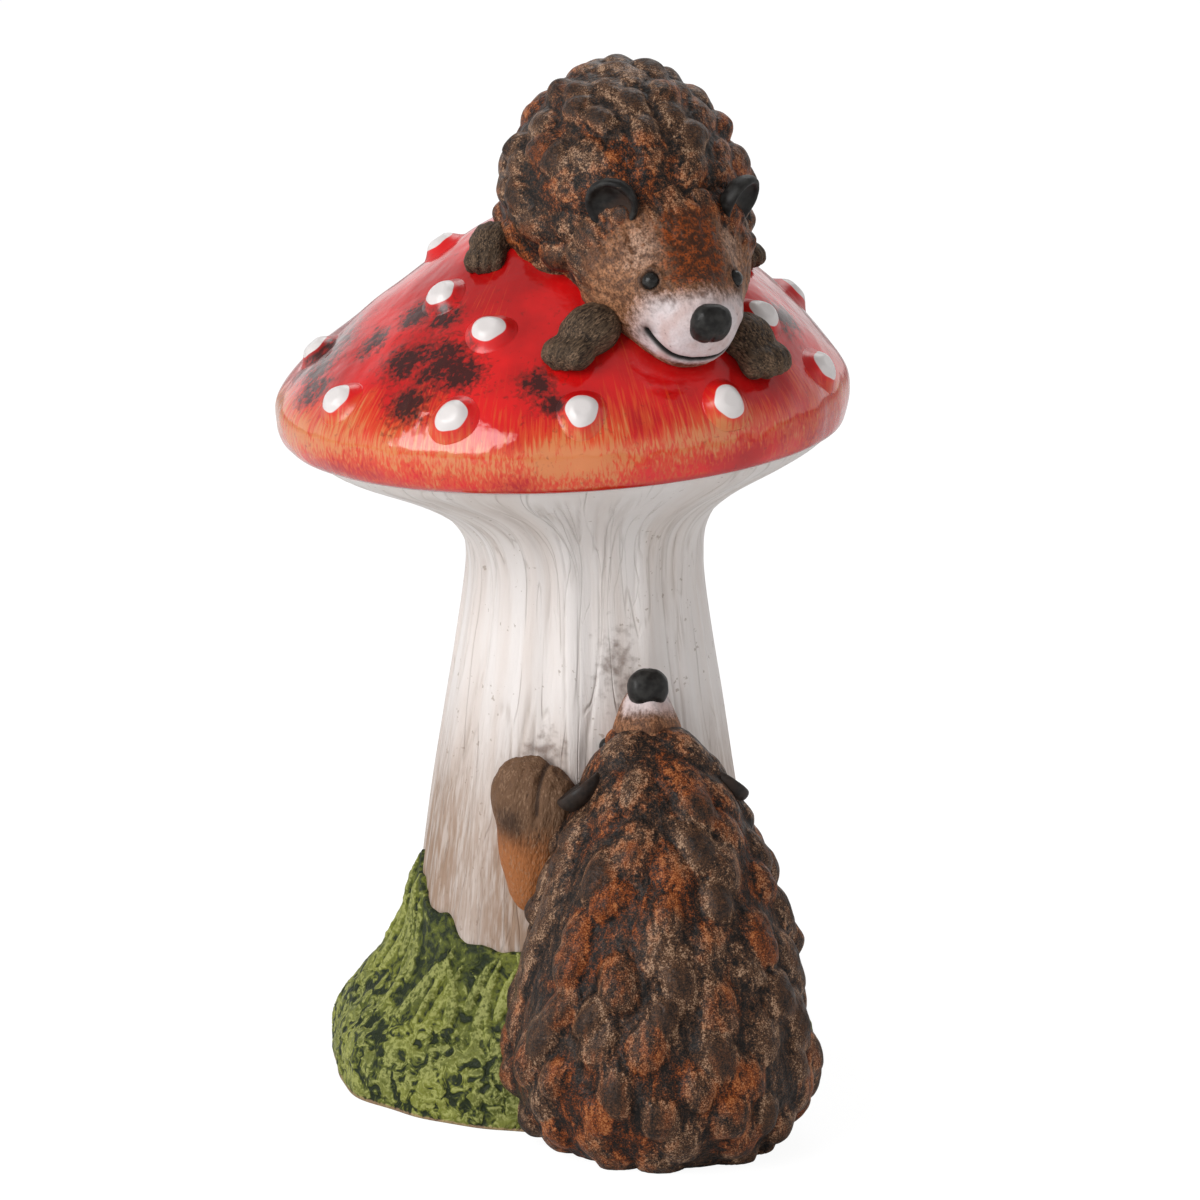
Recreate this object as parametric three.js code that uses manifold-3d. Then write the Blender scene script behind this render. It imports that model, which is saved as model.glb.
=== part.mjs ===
// Toadstool ornament with two hedgehogs: one rests on the cap, the other climbs the stalk.
// It is slip-cast earthenware. Hollow castings and hand-rolled pieces are luted together,
// painted and glazed, and nothing on it moves.
// Millimetres, +Z up. The origin is on the stalk's axis, at its foot, and the front faces -Y.
import * as THREE from 'three';
import { mergeVertices } from 'three/addons/utils/BufferGeometryUtils.js';
import Module from 'manifold-3d';

// Making
const WALL = 5; // thickness of the cast walls
const SEAT_GAP = 0.3; // layer of slip between two luted pieces
const VENT_R = 4; // holes that let air out of the hollows in the kiln

// Stalk
const FOOT_R = 47; // at the floor
const NECK_R = 31.2; // narrowest place
const NECK_Z = 141;
const TAPER_POWER = 1.4; // how early the shaft thins to the neck
const BELL_POWER = 1.75; // how late the neck opens into the gills
const FLUTE_DEPTH = 0.8;
const FLUTES_COARSE = 11;
const FLUTES_FINE = 19;
const FOOT_VENT_Y = 20; // the foot is pierced behind the axis

// Cap
const CAP_R = 76.5;
const CAP_RISE = 53; // from the widest ring up to the crown
const CAP_X = -6.1; // the cap leans off the stalk's axis
const CAP_Z = 188.4; // height of the widest ring
const CAP_TILT = THREE.MathUtils.degToRad(3); // right side up
const DOME_POWER = 1.3; // below 2 the dome is nearer to a cone
const LIP_DROP = 11.5; // from the widest ring down to the lip
const LIP_TUCK = 4.5; // how far the lip is inside the widest ring
const LIP_SWAY = 2; // the lip is tucked in more on the left than on the right
const LIP_OVERHANG = 1.5; // of the lip over the gills
const DOME_SWELL = 0.9; // the hand-made dome swells and sinks round its edge
const DOME_SKEW = 10; // its right shoulder is fuller than its left

// Spots, rolled pellets on the cap: turn from +X in degrees, share of the cap's radius
const SPOT_R = 4.7;
const SPOT_PROUD = 3.2;
const SPOT_ROOT = 2.5; // sunk depth before it is fitted to the dome
const SPOTS = [
  [224.5, 0.525], [251, 0.665], [217, 0.92], [248, 0.933], [275, 0.926], [306.5, 0.952], [332, 0.786], [340.5, 0.952],
  [165, 0.39], [181, 0.83], [20, 0.86], [41, 0.62], [60, 0.93], [94, 0.62], [124, 0.9],
];

// Grass mound
const MOUND_SPREAD = 8; // beyond the stalk on the right
const MOUND_LEFT = 8; // wider by this on the left
const MOUND_HEIGHT = 44.5; // mean height of the grass line
const TUFT_HEIGHT = 14; // of a tuft on the left, over that line
const BLADE_HEIGHT = 3; // how far the tips stand over the gaps between them
const BLADE_RELIEF = 2.4; // how far the blades stand out of the mound
const BLADES = 11;
const BLADE_ROOT = 6; // thickness of the blades where they leave the mound
const BLADE_TIP = 0.8;

// Knobs, the blunt spines of the coats
const KNOB_HEIGHT = 2.7;
const KNOB_SHAKE = 0.2; // how unevenly they are set and sized
const KNOB_LENGTH = 0.6; // half of it, as a share of the distance between rows
const KNOB_WIDTH = 0.57; // half of it, as a share of the distance between neighbours

// Resting hedgehog: forward is to its nose, side to its left
const RESTING_X = 19.5; // on the cap, from the cap's axis
const RESTING_Y = -10;
const RESTING_HEADING = THREE.MathUtils.degToRad(-78.5); // to the front and a little right
const RESTING_LIFT = 8.5; // from the dome up to the middle of the body
const RESTING_PITCH = THREE.MathUtils.degToRad(8);
const RESTING_LENGTH = 38; // half of the coat's length
const RESTING_WIDTH = 31.6;
const RESTING_HEIGHT = 31.2;
const RESTING_PEAR = 0.15; // share by which it narrows towards its back
const RESTING_KNOBS = 22; // round the widest row
const RESTING_ROWS = 13; // from pole to pole
const RESTING_FRINGE = 0.26; // where the knobs start and end, shares of the way from head to tail
const RESTING_TAIL = 0.92;
const RESTING_HEAD = {
  length: 48, // from the neck to the nose
  skull: { width: 29, crown: 22, jaw: 22 }, // half width, and heights over and under the middle line
  muzzle: { width: 10.5, crown: 7, jaw: 19 },
  nose: { ahead: 47, up: 1.2, shape: [0.75, 1, 1] },
  forward: 17, // neck, ahead of the middle of the body
  side: 2.5,
  drop: 5, // neck, under the middle of the body
  pitch: THREE.MathUtils.degToRad(28),
  yaw: THREE.MathUtils.degToRad(9), // it looks to its left
  roll: THREE.MathUtils.degToRad(-7), // with its left cheek down
  eye: { back: 16, turn: THREE.MathUtils.degToRad(70) }, // behind the tip, from the top
  ear: { ahead: 12, turn: THREE.MathUtils.degToRad(48), out: 2 }, // before the neck
};
const FRONT_PAW = { length: 11, width: 8, height: 6.5 };
const HIND_PAW = { length: 8, width: 6.5, height: 6.5 };
const PAWS = [
  { name: 'left_front_paw', forward: 37.5, side: 24, splay: 0.45, shape: FRONT_PAW },
  { name: 'right_front_paw', forward: 42.5, side: -21, splay: -1, shape: FRONT_PAW },
  { name: 'left_hind_paw', forward: -10, side: 31, splay: 0.5, shape: HIND_PAW },
  { name: 'right_hind_paw', forward: 3, side: -37, splay: -0.5, shape: HIND_PAW },
];

// Climbing hedgehog
const CLIMBING_X = 20.5; // to the right of the stalk's axis
const CLIMBING_OFF = 17; // from the edge of the stalk's foot to the middle of the body
const CLIMBING_TURN = THREE.MathUtils.degToRad(10);
const CLIMBING_R = 40; // half of its greatest width
const CLIMBING_HEIGHT = 108;
const CLIMBING_WAIST = 0.2; // share of the height where it is widest
const CLIMBING_UNDER = 0.29; // below it the egg would close in this share
const CLIMBING_LEAN = 20; // of the top towards the stalk
const CLIMBING_SWAY = 1.5; // of the top to the right
const CLIMBING_KNOBS = 22;
const CLIMBING_ROWS = 18;
const CLIMBING_FRINGE = 0.12;
const CLIMBING_TAIL = 0.75;
const CLIMBING_HEAD = {
  length: 46,
  skull: { width: 20, crown: 17.5, jaw: 17.5 },
  muzzle: { width: 6.5, crown: 6, jaw: 7 },
  nose: { ahead: 44.5, up: 2.5, shape: [0.95, 1, 0.8] },
  rise: 0.68, // neck, share of the body's height
  tilt: THREE.MathUtils.degToRad(72), // from level
  eye: { back: 16, turn: THREE.MathUtils.degToRad(126) },
  ear: { ahead: 18, turn: THREE.MathUtils.degToRad(85), out: 4 },
};
const ARM = { length: 29, width: 11 };
const ARMS = [
  { name: 'left_arm', rise: 0.77, side: -0.68, lean: 0.15 }, // share of the height, turn round the stalk
  { name: 'right_arm', rise: 0.7, side: 0.52, lean: -0.15 },
];

// Faces
const JOWL = 0.45; // share by which a face is wider below its middle line than above
const NOSE_R = 5.6;
const EYE_R = 2.5;
const EAR_R = 7;

// Paints
const PAINT = {
  stalk: { color: 0xe4ded8, roughness: 0.55 },
  grass: { color: 0x72893a, roughness: 0.6 },
  glaze: { color: 0xc41a16, roughness: 0.12 },
  spot: { color: 0xf1eee8, roughness: 0.35 },
  coat: { color: 0x4b3124, roughness: 0.65 },
  face: { color: 0xa98672, roughness: 0.65 },
  paw: { color: 0x5c4a3b, roughness: 0.7 },
  black: { color: 0x1f1f1e, roughness: 0.35 },
};

const TURN = 2 * Math.PI;
const vector = (x, y, z) => new THREE.Vector3(x, y, z);
const ease = (x) => THREE.MathUtils.smoothstep(x, 0, 1);

const wasm = await Module();
wasm.setup();

// A closed mesh as a solid, with shared vertices merged and collapsed faces left out.
function solidOf(geometry) {
  const bare = geometry.clone();
  bare.deleteAttribute('normal');
  bare.deleteAttribute('uv');
  const merged = mergeVertices(bare, 1e-4);
  const index = merged.index.array;
  const faces = [];
  for (let i = 0; i < index.length; i += 3) {
    const [a, b, c] = index.slice(i, i + 3);
    if (a !== b && b !== c && c !== a) faces.push(a, b, c);
  }
  const vertProperties = merged.attributes.position.array;
  return new wasm.Manifold(new wasm.Mesh({ numProp: 3, vertProperties, triVerts: new Uint32Array(faces) }));
}

function geometryOf(solid) {
  const { vertProperties, triVerts } = solid.getMesh();
  const geometry = new THREE.BufferGeometry();
  geometry.setAttribute('position', new THREE.BufferAttribute(Float32Array.from(vertProperties), 3));
  geometry.setIndex(new THREE.BufferAttribute(Uint32Array.from(triVerts), 1));
  geometry.computeVertexNormals();
  return geometry;
}

// Six times the volume inside a mesh: negative where its faces point inwards.
function signedVolume(points, faces) {
  let sum = 0;
  for (let i = 0; i < faces.length; i += 3) {
    const [a, b, c] = faces.slice(i, i + 3).map((n) => points[n]);
    sum += a.dot(b.clone().cross(c));
  }
  return sum;
}

// A skin over rings of equally many points, closed to a point at each end, or end to end as a
// tube when it has no end points.
function loft(rings, first, last) {
  const columns = rings[0].length;
  const points = rings.flat();
  const faces = [];
  const spans = first ? rings.length - 1 : rings.length;
  for (let row = 0; row < spans; row++) {
    const next = (row + 1) % rings.length;
    for (let column = 0; column < columns; column++) {
      const beside = (column + 1) % columns;
      const [a, b] = [row * columns + column, row * columns + beside];
      const [c, d] = [next * columns + column, next * columns + beside];
      faces.push(a, c, b, b, c, d);
    }
  }
  if (first) {
    points.push(first, last);
    const [top, bottom] = [points.length - 2, points.length - 1];
    const end = (rings.length - 1) * columns;
    for (let column = 0; column < columns; column++) {
      const beside = (column + 1) % columns;
      faces.push(top, column, beside, bottom, end + beside, end + column);
    }
  }
  if (signedVolume(points, faces) < 0) faces.reverse();
  const geometry = new THREE.BufferGeometry().setFromPoints(points);
  geometry.setIndex(faces);
  geometry.computeVertexNormals();
  return geometry;
}

const steps = (count) => Array.from({ length: count }, (_, i) => i);
const ring = (columns, point) => steps(columns).map((i) => point((TURN * i) / columns));

// A skin over point(turn, polar), which closes to a point where polar is 0 and where it is pi.
function globe(point, columns, rows) {
  const polars = steps(rows - 1).map((i) => (Math.PI * (i + 1)) / rows);
  const rings = polars.map((polar) => ring(columns, (turn) => point(turn, polar)));
  return loft(rings, point(0, 0), point(0, Math.PI));
}

// Stalk, cap and mound

const capMatrix = new THREE.Matrix4()
  .makeTranslation(CAP_X, 0, CAP_Z)
  .multiply(new THREE.Matrix4().makeRotationY(-CAP_TILT));
const lipRadius = (turn) => CAP_R - LIP_TUCK + LIP_SWAY * Math.cos(turn);
const gillRadius = (turn) => lipRadius(turn) - LIP_OVERHANG;
const GILL_Z = CAP_Z - LIP_DROP - SEAT_GAP;

// Radius of the plain stalk: a tapering shaft, then a bell that opens into the gills.
function stalkRadius(turn, z) {
  if (z <= NECK_Z) return NECK_R + (FOOT_R - NECK_R) * (1 - (z / NECK_Z) ** 2) ** TAPER_POWER;
  const bell = (z - NECK_Z) / (GILL_Z - NECK_Z);
  const flare = 0.8 * ease(bell ** BELL_POWER) + 0.2 * bell * bell;
  return NECK_R + (gillRadius(turn) - NECK_R) * flare;
}

function flute(turn) {
  return FLUTE_DEPTH * (0.6 * Math.sin(FLUTES_COARSE * turn + 0.7) + 0.4 * Math.sin(FLUTES_FINE * turn + 2));
}

// The shaft stands upright, and the bell turns over into the tilted frame of the cap.
function stalkPoint(turn, z, grow = 0) {
  const bell = ease((z - NECK_Z) / (GILL_Z - NECK_Z));
  const r = stalkRadius(turn, z) + flute(turn) * (1 - bell) + grow;
  const upright = vector(r * Math.cos(turn), r * Math.sin(turn), z);
  const tilted = vector(upright.x, upright.y, z - CAP_Z).applyMatrix4(capMatrix);
  return upright.lerp(tilted, bell);
}

// Heights of the rings: few on the shaft, more in the bell.
const stalkHeights = (low, high, shaft, bell) => [
  ...steps(bell).map((i) => high - ((high - NECK_Z) * i) / bell),
  ...steps(shaft).map((i) => NECK_Z - ((NECK_Z - low) * i) / (shaft - 1)),
];

function stalkSkin(grow, low, high, columns, shaft, bell) {
  const heights = stalkHeights(low, high, shaft, bell);
  const rings = heights.map((z) => ring(columns, (turn) => stalkPoint(turn, z, grow)));
  const middle = (points) =>
    points.reduce((sum, p) => sum.add(p), vector(0, 0, 0)).divideScalar(points.length);
  return loft(rings, middle(rings[0]), middle(rings[rings.length - 1]));
}

const stalkOuter = (grow) => stalkSkin(grow, -grow, GILL_Z, 44, 6, 6);
const cylinder = (radius, height) =>
  new THREE.CylinderGeometry(radius, radius, height, 16).rotateX(Math.PI / 2);

function stalkGeometry() {
  const hollow = solidOf(stalkSkin(-WALL, WALL, GILL_Z + SEAT_GAP, 14, 4, 4));
  const vent = solidOf(cylinder(VENT_R, 4 * WALL).translate(0, FOOT_VENT_Y, 0));
  return geometryOf(solidOf(stalkOuter(0)).subtract(hollow).subtract(vent));
}

// Height of the dome over a place on the cap, in the cap's own frame.
function domeHeight(x, y) {
  const turn = Math.atan2(y, x);
  const share = Math.min(1, Math.hypot(x, y) / CAP_R);
  const swell = DOME_SWELL * Math.sin(3 * turn + 1) * share * share * (1 - share ** 8);
  const skew = DOME_SKEW * share * Math.cos(turn) * (1 - share * share);
  return CAP_RISE * (1 - share ** DOME_POWER) ** (1 / DOME_POWER) + swell + skew;
}

// The dome down to the widest ring, then a rounded edge that tucks in to the lip. t runs 0 to 2.
function capPoint(turn, t) {
  const angle = (Math.PI / 2) * Math.min(t, 1);
  const roll = (Math.PI / 2) * Math.max(t - 1, 0);
  const r = CAP_R * Math.sin(angle) ** (2 / DOME_POWER) - (CAP_R - lipRadius(turn)) * (1 - Math.cos(roll));
  const [x, y] = [r * Math.cos(turn), r * Math.sin(turn)];
  return vector(x, y, t < 1 ? domeHeight(x, y) : -LIP_DROP * Math.sin(roll));
}

// Outward direction of the cap at a place on it.
function capNormal(turn, t) {
  const step = 0.01;
  const along = capPoint(turn, t + step).sub(capPoint(turn, t - step));
  const around = capPoint(turn + step, t).sub(capPoint(turn - step, t));
  return along.cross(around).normalize();
}

function capSkin(grow, columns, dome, edge) {
  const places = [
    ...steps(dome).map((i) => (i + 1) / dome),
    ...steps(edge).map((i) => 1 + (i + 1) / edge),
  ];
  const skin = (turn, t) => capPoint(turn, t).addScaledVector(capNormal(turn, t), grow);
  const rings = places.map((t) => ring(columns, (turn) => skin(turn, t)));
  return loft(rings, vector(0, 0, CAP_RISE + grow), vector(0, 0, -LIP_DROP - grow));
}

const capOuter = (grow) => capSkin(grow, 36, 9, 3);

function capGeometry() {
  const well = cylinder(CAP_R - LIP_TUCK - LIP_SWAY - WALL, 2 * LIP_DROP).translate(0, 0, -LIP_DROP);
  const hollow = solidOf(capSkin(-WALL, 14, 6, 2)).add(solidOf(well));
  const vent = solidOf(cylinder(VENT_R, 2 * CAP_RISE).translate(RESTING_X, RESTING_Y, CAP_RISE));
  return geometryOf(solidOf(capOuter(0)).subtract(hollow).subtract(vent));
}

// A pellet pressed on the cap, with its foot spread a little. Its axis is the lathe's.
function spotGeometry() {
  const profile = [
    new THREE.Vector2(0, -SPOT_ROOT),
    new THREE.Vector2(1.5 * SPOT_R, -SPOT_ROOT),
    new THREE.Vector2(1.05 * SPOT_R, 0.55 * SPOT_PROUD),
    new THREE.Vector2(0.62 * SPOT_R, 0.97 * SPOT_PROUD),
    new THREE.Vector2(0, 1.08 * SPOT_PROUD),
  ];
  return new THREE.LatheGeometry(profile, 9);
}

// How far a turn is from the nearest blade: 0 in its middle, 1 in the gap to the next.
const bladeGap = (turn) => Math.abs(Math.cos((BLADES * turn) / 2 + 0.8 * Math.sin(turn)));

// Height of the grass line, with the blades' tips at uneven turns.
function grassLine(turn) {
  const tuft = TUFT_HEIGHT * Math.max(0, -Math.cos(turn)) ** 8;
  return MOUND_HEIGHT + tuft + BLADE_HEIGHT * (0.6 - bladeGap(turn));
}

// Distance of the grass from the stalk at a share of the way up to the grass line.
function moundOut(turn, share) {
  const spread = MOUND_SPREAD + MOUND_LEFT * Math.max(0, -Math.cos(turn)) ** 3;
  const lump = 1 + 0.05 * Math.sin(5 * turn + 1.2) + 0.04 * Math.sin(9 * turn);
  const bank = spread * lump * (1 - ease((share - 0.17) / 0.6)) * (1 - 0.1 * (1 - share) ** 6);
  const blade = BLADE_RELIEF * (0.5 - bladeGap(turn)) * ease((share - 0.25) / 0.25) * ease((1 - share) / 0.2);
  return BLADE_TIP + BLADE_ROOT * (1 - share) ** 0.7 + bank + blade;
}

function moundGeometry() {
  const up = steps(7).map((i) => i / 6);
  const outside = (share) =>
    ring(50, (turn) => {
      const z = share * grassLine(turn);
      return stalkPoint(turn, z, SEAT_GAP + moundOut(turn, share));
    });
  const inside = (z) => ring(50, (turn) => stalkPoint(turn, Math.min(z, grassLine(turn)), -WALL / 2));
  return loft([...up.map(outside), inside(CAP_Z), inside(0)]);
}

// Coats

// Directions on a surface given as point(turn, polar): along it from its first pole, around it
// and out of it.
function directions(point, turn, polar) {
  const step = 0.01;
  const p = THREE.MathUtils.clamp(polar, 2 * step, Math.PI - 2 * step);
  const around = point(turn + step, p).sub(point(turn - step, p)).normalize();
  const along = point(turn, p + step).sub(point(turn, p - step)).normalize();
  return { along, around, out: along.clone().cross(around).normalize() };
}

const grown = (point, grow) => (turn, polar) =>
  point(turn, polar).addScaledVector(directions(point, turn, polar).out, grow);

// A steady number from -1 to 1 for each knob and each use of it.
function shake(row, i, use) {
  const x = 43758.5453 * Math.sin(12.9898 * row + 78.233 * i + 37.719 * use);
  return 2 * (x - Math.floor(x)) - 1;
}

// The knobs lie in staggered rows from the head to the tail. Their number in a row is halved
// each time the body gets too narrow for them.
function knobsOn(point, rows, around, from, to) {
  const knobs = [];
  const girth = (polar) => point(0, polar).distanceTo(point(Math.PI, polar)) * (Math.PI / 2);
  const widest = girth(Math.PI / 2) / around;
  steps(rows).forEach((row) => {
    const polar = (Math.PI * (row + 0.5)) / rows;
    if (polar < from * Math.PI || polar > to * Math.PI) return;
    let count = around;
    while (count % 2 === 0 && girth(polar) / count < 0.6 * widest) count /= 2;
    const pitch = point(0, polar - Math.PI / rows / 2).distanceTo(point(0, polar + Math.PI / rows / 2));
    const [length, width] = [KNOB_LENGTH * pitch, (KNOB_WIDTH * girth(polar)) / count];
    steps(count).forEach((i) => {
      const turn = (TURN * (i + (row % 2) / 2 + KNOB_SHAKE * shake(row, i, 0))) / count;
      const down = polar + ((Math.PI * KNOB_SHAKE) / rows) * shake(row, i, 1);
      const strength = 1 + KNOB_SHAKE * shake(row, i, 2);
      knobs.push({ at: point(turn, down), ...directions(point, turn, down), length, width, strength });
    });
  });
  return knobs;
}

// Raises each place of a surface by the highest knob over it: domes that lie head to tail.
function knobbed(point, knobs, grow) {
  return (turn, polar) => {
    const place = point(turn, polar);
    const height = knobs.reduce((most, knob) => {
      const offset = place.clone().sub(knob.at);
      const a = offset.dot(knob.along) / knob.length;
      const b = offset.dot(knob.around) / knob.width;
      const c = offset.dot(knob.out) / knob.length;
      const dome = 1 - a * a - b * b - c * c;
      return dome > 0 ? Math.max(most, knob.strength * Math.sqrt(dome) * (1 + 0.25 * a)) : most;
    }, 0);
    return place.addScaledVector(directions(point, turn, polar).out, KNOB_HEIGHT * height + grow);
  };
}

// The resting coat is an ellipsoid whose poles are its head and tail, narrower above than below.
function restingPoint(turn, polar) {
  const up = Math.sin(polar) * Math.sin(turn);
  const side = Math.sin(polar) * Math.cos(turn) * (1 - RESTING_PEAR * up);
  return vector(RESTING_LENGTH * Math.cos(polar), RESTING_WIDTH * side, RESTING_HEIGHT * up);
}

// The climbing coat is an egg on end: level rings round a line that leans to the stalk.
const climbingPoint = (turn, polar) => {
  const c = Math.cos(polar);
  const rise = c > 0 ? (1 - CLIMBING_WAIST) * c ** 1.25 : CLIMBING_UNDER * c;
  const share = CLIMBING_WAIST + rise;
  const r = CLIMBING_R * (c > 0 ? (1 - c ** 1.45) ** 0.45 : Math.abs(Math.sin(polar)));
  const lean = Math.max(share, 0) ** 2;
  const [x, y] = [CLIMBING_SWAY * lean + r * Math.cos(turn), CLIMBING_LEAN * lean + r * Math.sin(turn)];
  return vector(x, y, CLIMBING_HEIGHT * share);
};

const restingKnobs = knobsOn(restingPoint, RESTING_ROWS, RESTING_KNOBS, RESTING_FRINGE, RESTING_TAIL);
const climbingKnobs = knobsOn(climbingPoint, CLIMBING_ROWS, CLIMBING_KNOBS, CLIMBING_FRINGE, CLIMBING_TAIL);
const restingOuter = (grow) =>
  globe(knobbed(restingPoint, restingKnobs, grow), 2 * RESTING_KNOBS, 2 * RESTING_ROWS);
const climbingOuter = (grow) =>
  globe(knobbed(climbingPoint, climbingKnobs, grow), 2 * CLIMBING_KNOBS, 2 * CLIMBING_ROWS);

const hollowed = (outer, inner) => geometryOf(solidOf(outer).subtract(solidOf(inner)));

// Heads, limbs and features

// A head lies along X, from the neck to the nose: a skull that eases away into a blunt muzzle.
const headPoint = ({ length, skull, muzzle }) => (turn, polar) => {
  const share = 0.5 + 0.5 * Math.cos(polar);
  const away = 1 - ease(share);
  const [blunt, neck] = [(1 - share ** 12) ** 0.5, (1 - (1 - share) ** 8) ** 0.5];
  const size = (part) => ((skull[part] - muzzle[part]) * away + muzzle[part] * blunt) * neck;
  const [out, up] = [Math.cos(turn), Math.sin(turn)];
  const side = size('width') * out * (1 - JOWL * ease(share / 0.6) * up);
  return vector(share * length, side, size(up > 0 ? 'crown' : 'jaw') * up);
};
const headOuter = (head, grow = 0) => globe(grown(headPoint(head), grow), 16, 9);

// A place on a head, or out from it: ahead of its neck and turned from its top towards its left.
function onHead(head, ahead, turnFromTop, out = 0) {
  const share = ahead / head.length;
  const outward = vector(0, Math.sin(turnFromTop), Math.cos(turnFromTop)).multiplyScalar(out);
  return headPoint(head)(Math.PI / 2 - turnFromTop, Math.acos(2 * share - 1)).add(outward);
}

// A paw is a flattened ball with three toes at its front end, which is +X.
function pawOuter({ length, width, height }, grow = 0) {
  const point = (turn, polar) => {
    const x = Math.cos(polar);
    const y = Math.sin(polar) * Math.cos(turn);
    const toes = 1 + 0.1 * ease(x) * Math.cos(3 * Math.PI * y);
    return vector(length * toes * x, width * toes * y, height * Math.sin(polar) * Math.sin(turn));
  };
  return globe(grown(point, grow), 12, 8);
}

// A foreleg as a club: the paw at its upper end, +Z, thins to the elbow.
function armGeometry({ length, width }) {
  const point = (turn, polar) => {
    const c = Math.cos(polar);
    const thin = c > 0 ? 1 : 1 - 0.4 * ease(-c);
    const r = width * Math.sin(polar) * thin;
    return vector(r * Math.cos(turn), 0.75 * r * Math.sin(turn), length * (c > 0 ? 0.5 * c : c));
  };
  return globe(point, 12, 8);
}

// An ear is a shallow cup that opens along +Y before it is turned. Its seat is a lens round it.
const EAR_BACK = [[0, -0.55], [0.7, -0.42], [1, 0.1], [0.93, 0.3]];
const EAR_CUP = [[0.7, 0.18], [0, 0.05]];
const EAR_LENS = [[0, 0.4]];

function earOuter(front, grow = 0) {
  const profile = [...EAR_BACK, ...front].map(([r, y]) => new THREE.Vector2(r, y));
  return new THREE.LatheGeometry(profile, 12).scale(EAR_R + grow, EAR_R + 2 * grow, EAR_R + grow);
}

const noseOuter = ({ shape }, grow = 0) =>
  new THREE.SphereGeometry(1, 10, 6).scale(...shape.map((half) => half * NOSE_R + grow));
const eyeOuter = (grow = 0) => new THREE.SphereGeometry(EYE_R + grow, 8, 5);

// Assembly

const ornament = new THREE.Group();
const SIDES = [['left', 1], ['right', -1]];

function piece(parent, name, geometry, paint) {
  const mesh = new THREE.Mesh(geometry, new THREE.MeshStandardMaterial({ metalness: 0, ...PAINT[paint] }));
  mesh.name = name;
  parent.add(mesh);
  return mesh;
}

function frame(parent, position, yaw, pitch = 0, roll = 0) {
  const group = new THREE.Group();
  group.position.copy(position);
  group.rotation.set(roll, pitch, yaw, 'ZYX');
  parent.add(group);
  return group;
}

// Fits a piece to its neighbours: takes each neighbour's grown shape away from it.
function fit(mesh, ...neighbours) {
  ornament.updateMatrixWorld(true);
  const toMesh = mesh.matrixWorld.clone().invert();
  const fitted = neighbours.reduce((solid, { of, shape }) => {
    const placed = shape.clone().applyMatrix4(toMesh.clone().multiply(of.matrixWorld));
    return solid.subtract(solidOf(placed));
  }, solidOf(mesh.geometry));
  mesh.geometry = geometryOf(fitted);
}

const stalk = piece(ornament, 'stalk', stalkGeometry(), 'stalk');
const stalkSeat = { of: stalk, shape: stalkOuter(SEAT_GAP) };

const capFrame = new THREE.Group();
capMatrix.decompose(capFrame.position, capFrame.quaternion, capFrame.scale);
ornament.add(capFrame);
const cap = piece(capFrame, 'cap', capGeometry(), 'glaze');
const capSeat = { of: cap, shape: capOuter(SEAT_GAP) };

// The floor under the ornament, to cut pieces flat.
const FLOOR_SIZE = 4 * CAP_R;
const floor = {
  of: ornament,
  shape: new THREE.BoxGeometry(FLOOR_SIZE, FLOOR_SIZE, FLOOR_SIZE).translate(0, 0, -FLOOR_SIZE / 2),
};

// Head with its nose and eyes in sockets and its ears at the edge of the coat. The head faces +X
// of the frame that it is given, and it plugs the opening that it leaves in the coat.
function addHead(parent, name, shape, coat, base) {
  const head = piece(parent, `${name}_head`, headOuter(shape), 'face');
  const headSeat = { of: head, shape: headOuter(shape, SEAT_GAP) };
  const nose = piece(parent, `${name}_nose`, noseOuter(shape.nose), 'black');
  nose.position.set(shape.nose.ahead, 0, shape.nose.up);
  fit(nose, base);
  const sockets = [{ of: nose, shape: noseOuter(shape.nose, SEAT_GAP) }];
  for (const [side, sign] of SIDES) {
    const eye = piece(parent, `${name}_${side}_eye`, eyeOuter(), 'black');
    eye.position.copy(onHead(shape, shape.length - shape.eye.back, sign * shape.eye.turn, -0.2 * EYE_R));
    fit(eye, base);
    sockets.push({ of: eye, shape: eyeOuter(SEAT_GAP) });
    const ear = piece(parent, `${name}_${side}_ear`, earOuter(EAR_CUP), 'black');
    ear.position.copy(onHead(shape, shape.ear.ahead, sign * shape.ear.turn, shape.ear.out));
    ear.rotation.set(0, 0, -Math.PI / 2 + sign * 0.6, 'ZYX');
    fit(ear, headSeat, base);
    sockets.push({ of: ear, shape: earOuter(EAR_LENS, SEAT_GAP) });
  }
  fit(head, base, ...sockets);
  fit(coat, headSeat, ...sockets);
  return headSeat;
}

// Resting hedgehog
const restingZ = domeHeight(RESTING_X, RESTING_Y) + RESTING_LIFT;
const resting = frame(capFrame, vector(RESTING_X, RESTING_Y, restingZ), RESTING_HEADING);
const restingCoatFrame = frame(resting, vector(0, 0, 0), 0, RESTING_PITCH);
const restingShell = hollowed(restingOuter(0), globe(grown(restingPoint, -WALL), 12, 6));
const restingCoat = piece(restingCoatFrame, 'resting_coat', restingShell, 'coat');
fit(restingCoat, capSeat);
const restingSeat = { of: restingCoat, shape: restingOuter(SEAT_GAP) };
const restingNeck = vector(RESTING_HEAD.forward, RESTING_HEAD.side, -RESTING_HEAD.drop);
const { yaw, pitch, roll } = RESTING_HEAD;
const restingHeadFrame = frame(resting, restingNeck, yaw, pitch, roll);
const restingHeadSeat = addHead(restingHeadFrame, 'resting', RESTING_HEAD, restingCoat, capSeat);
const onCap = [capSeat, restingSeat, restingHeadSeat];

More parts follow.
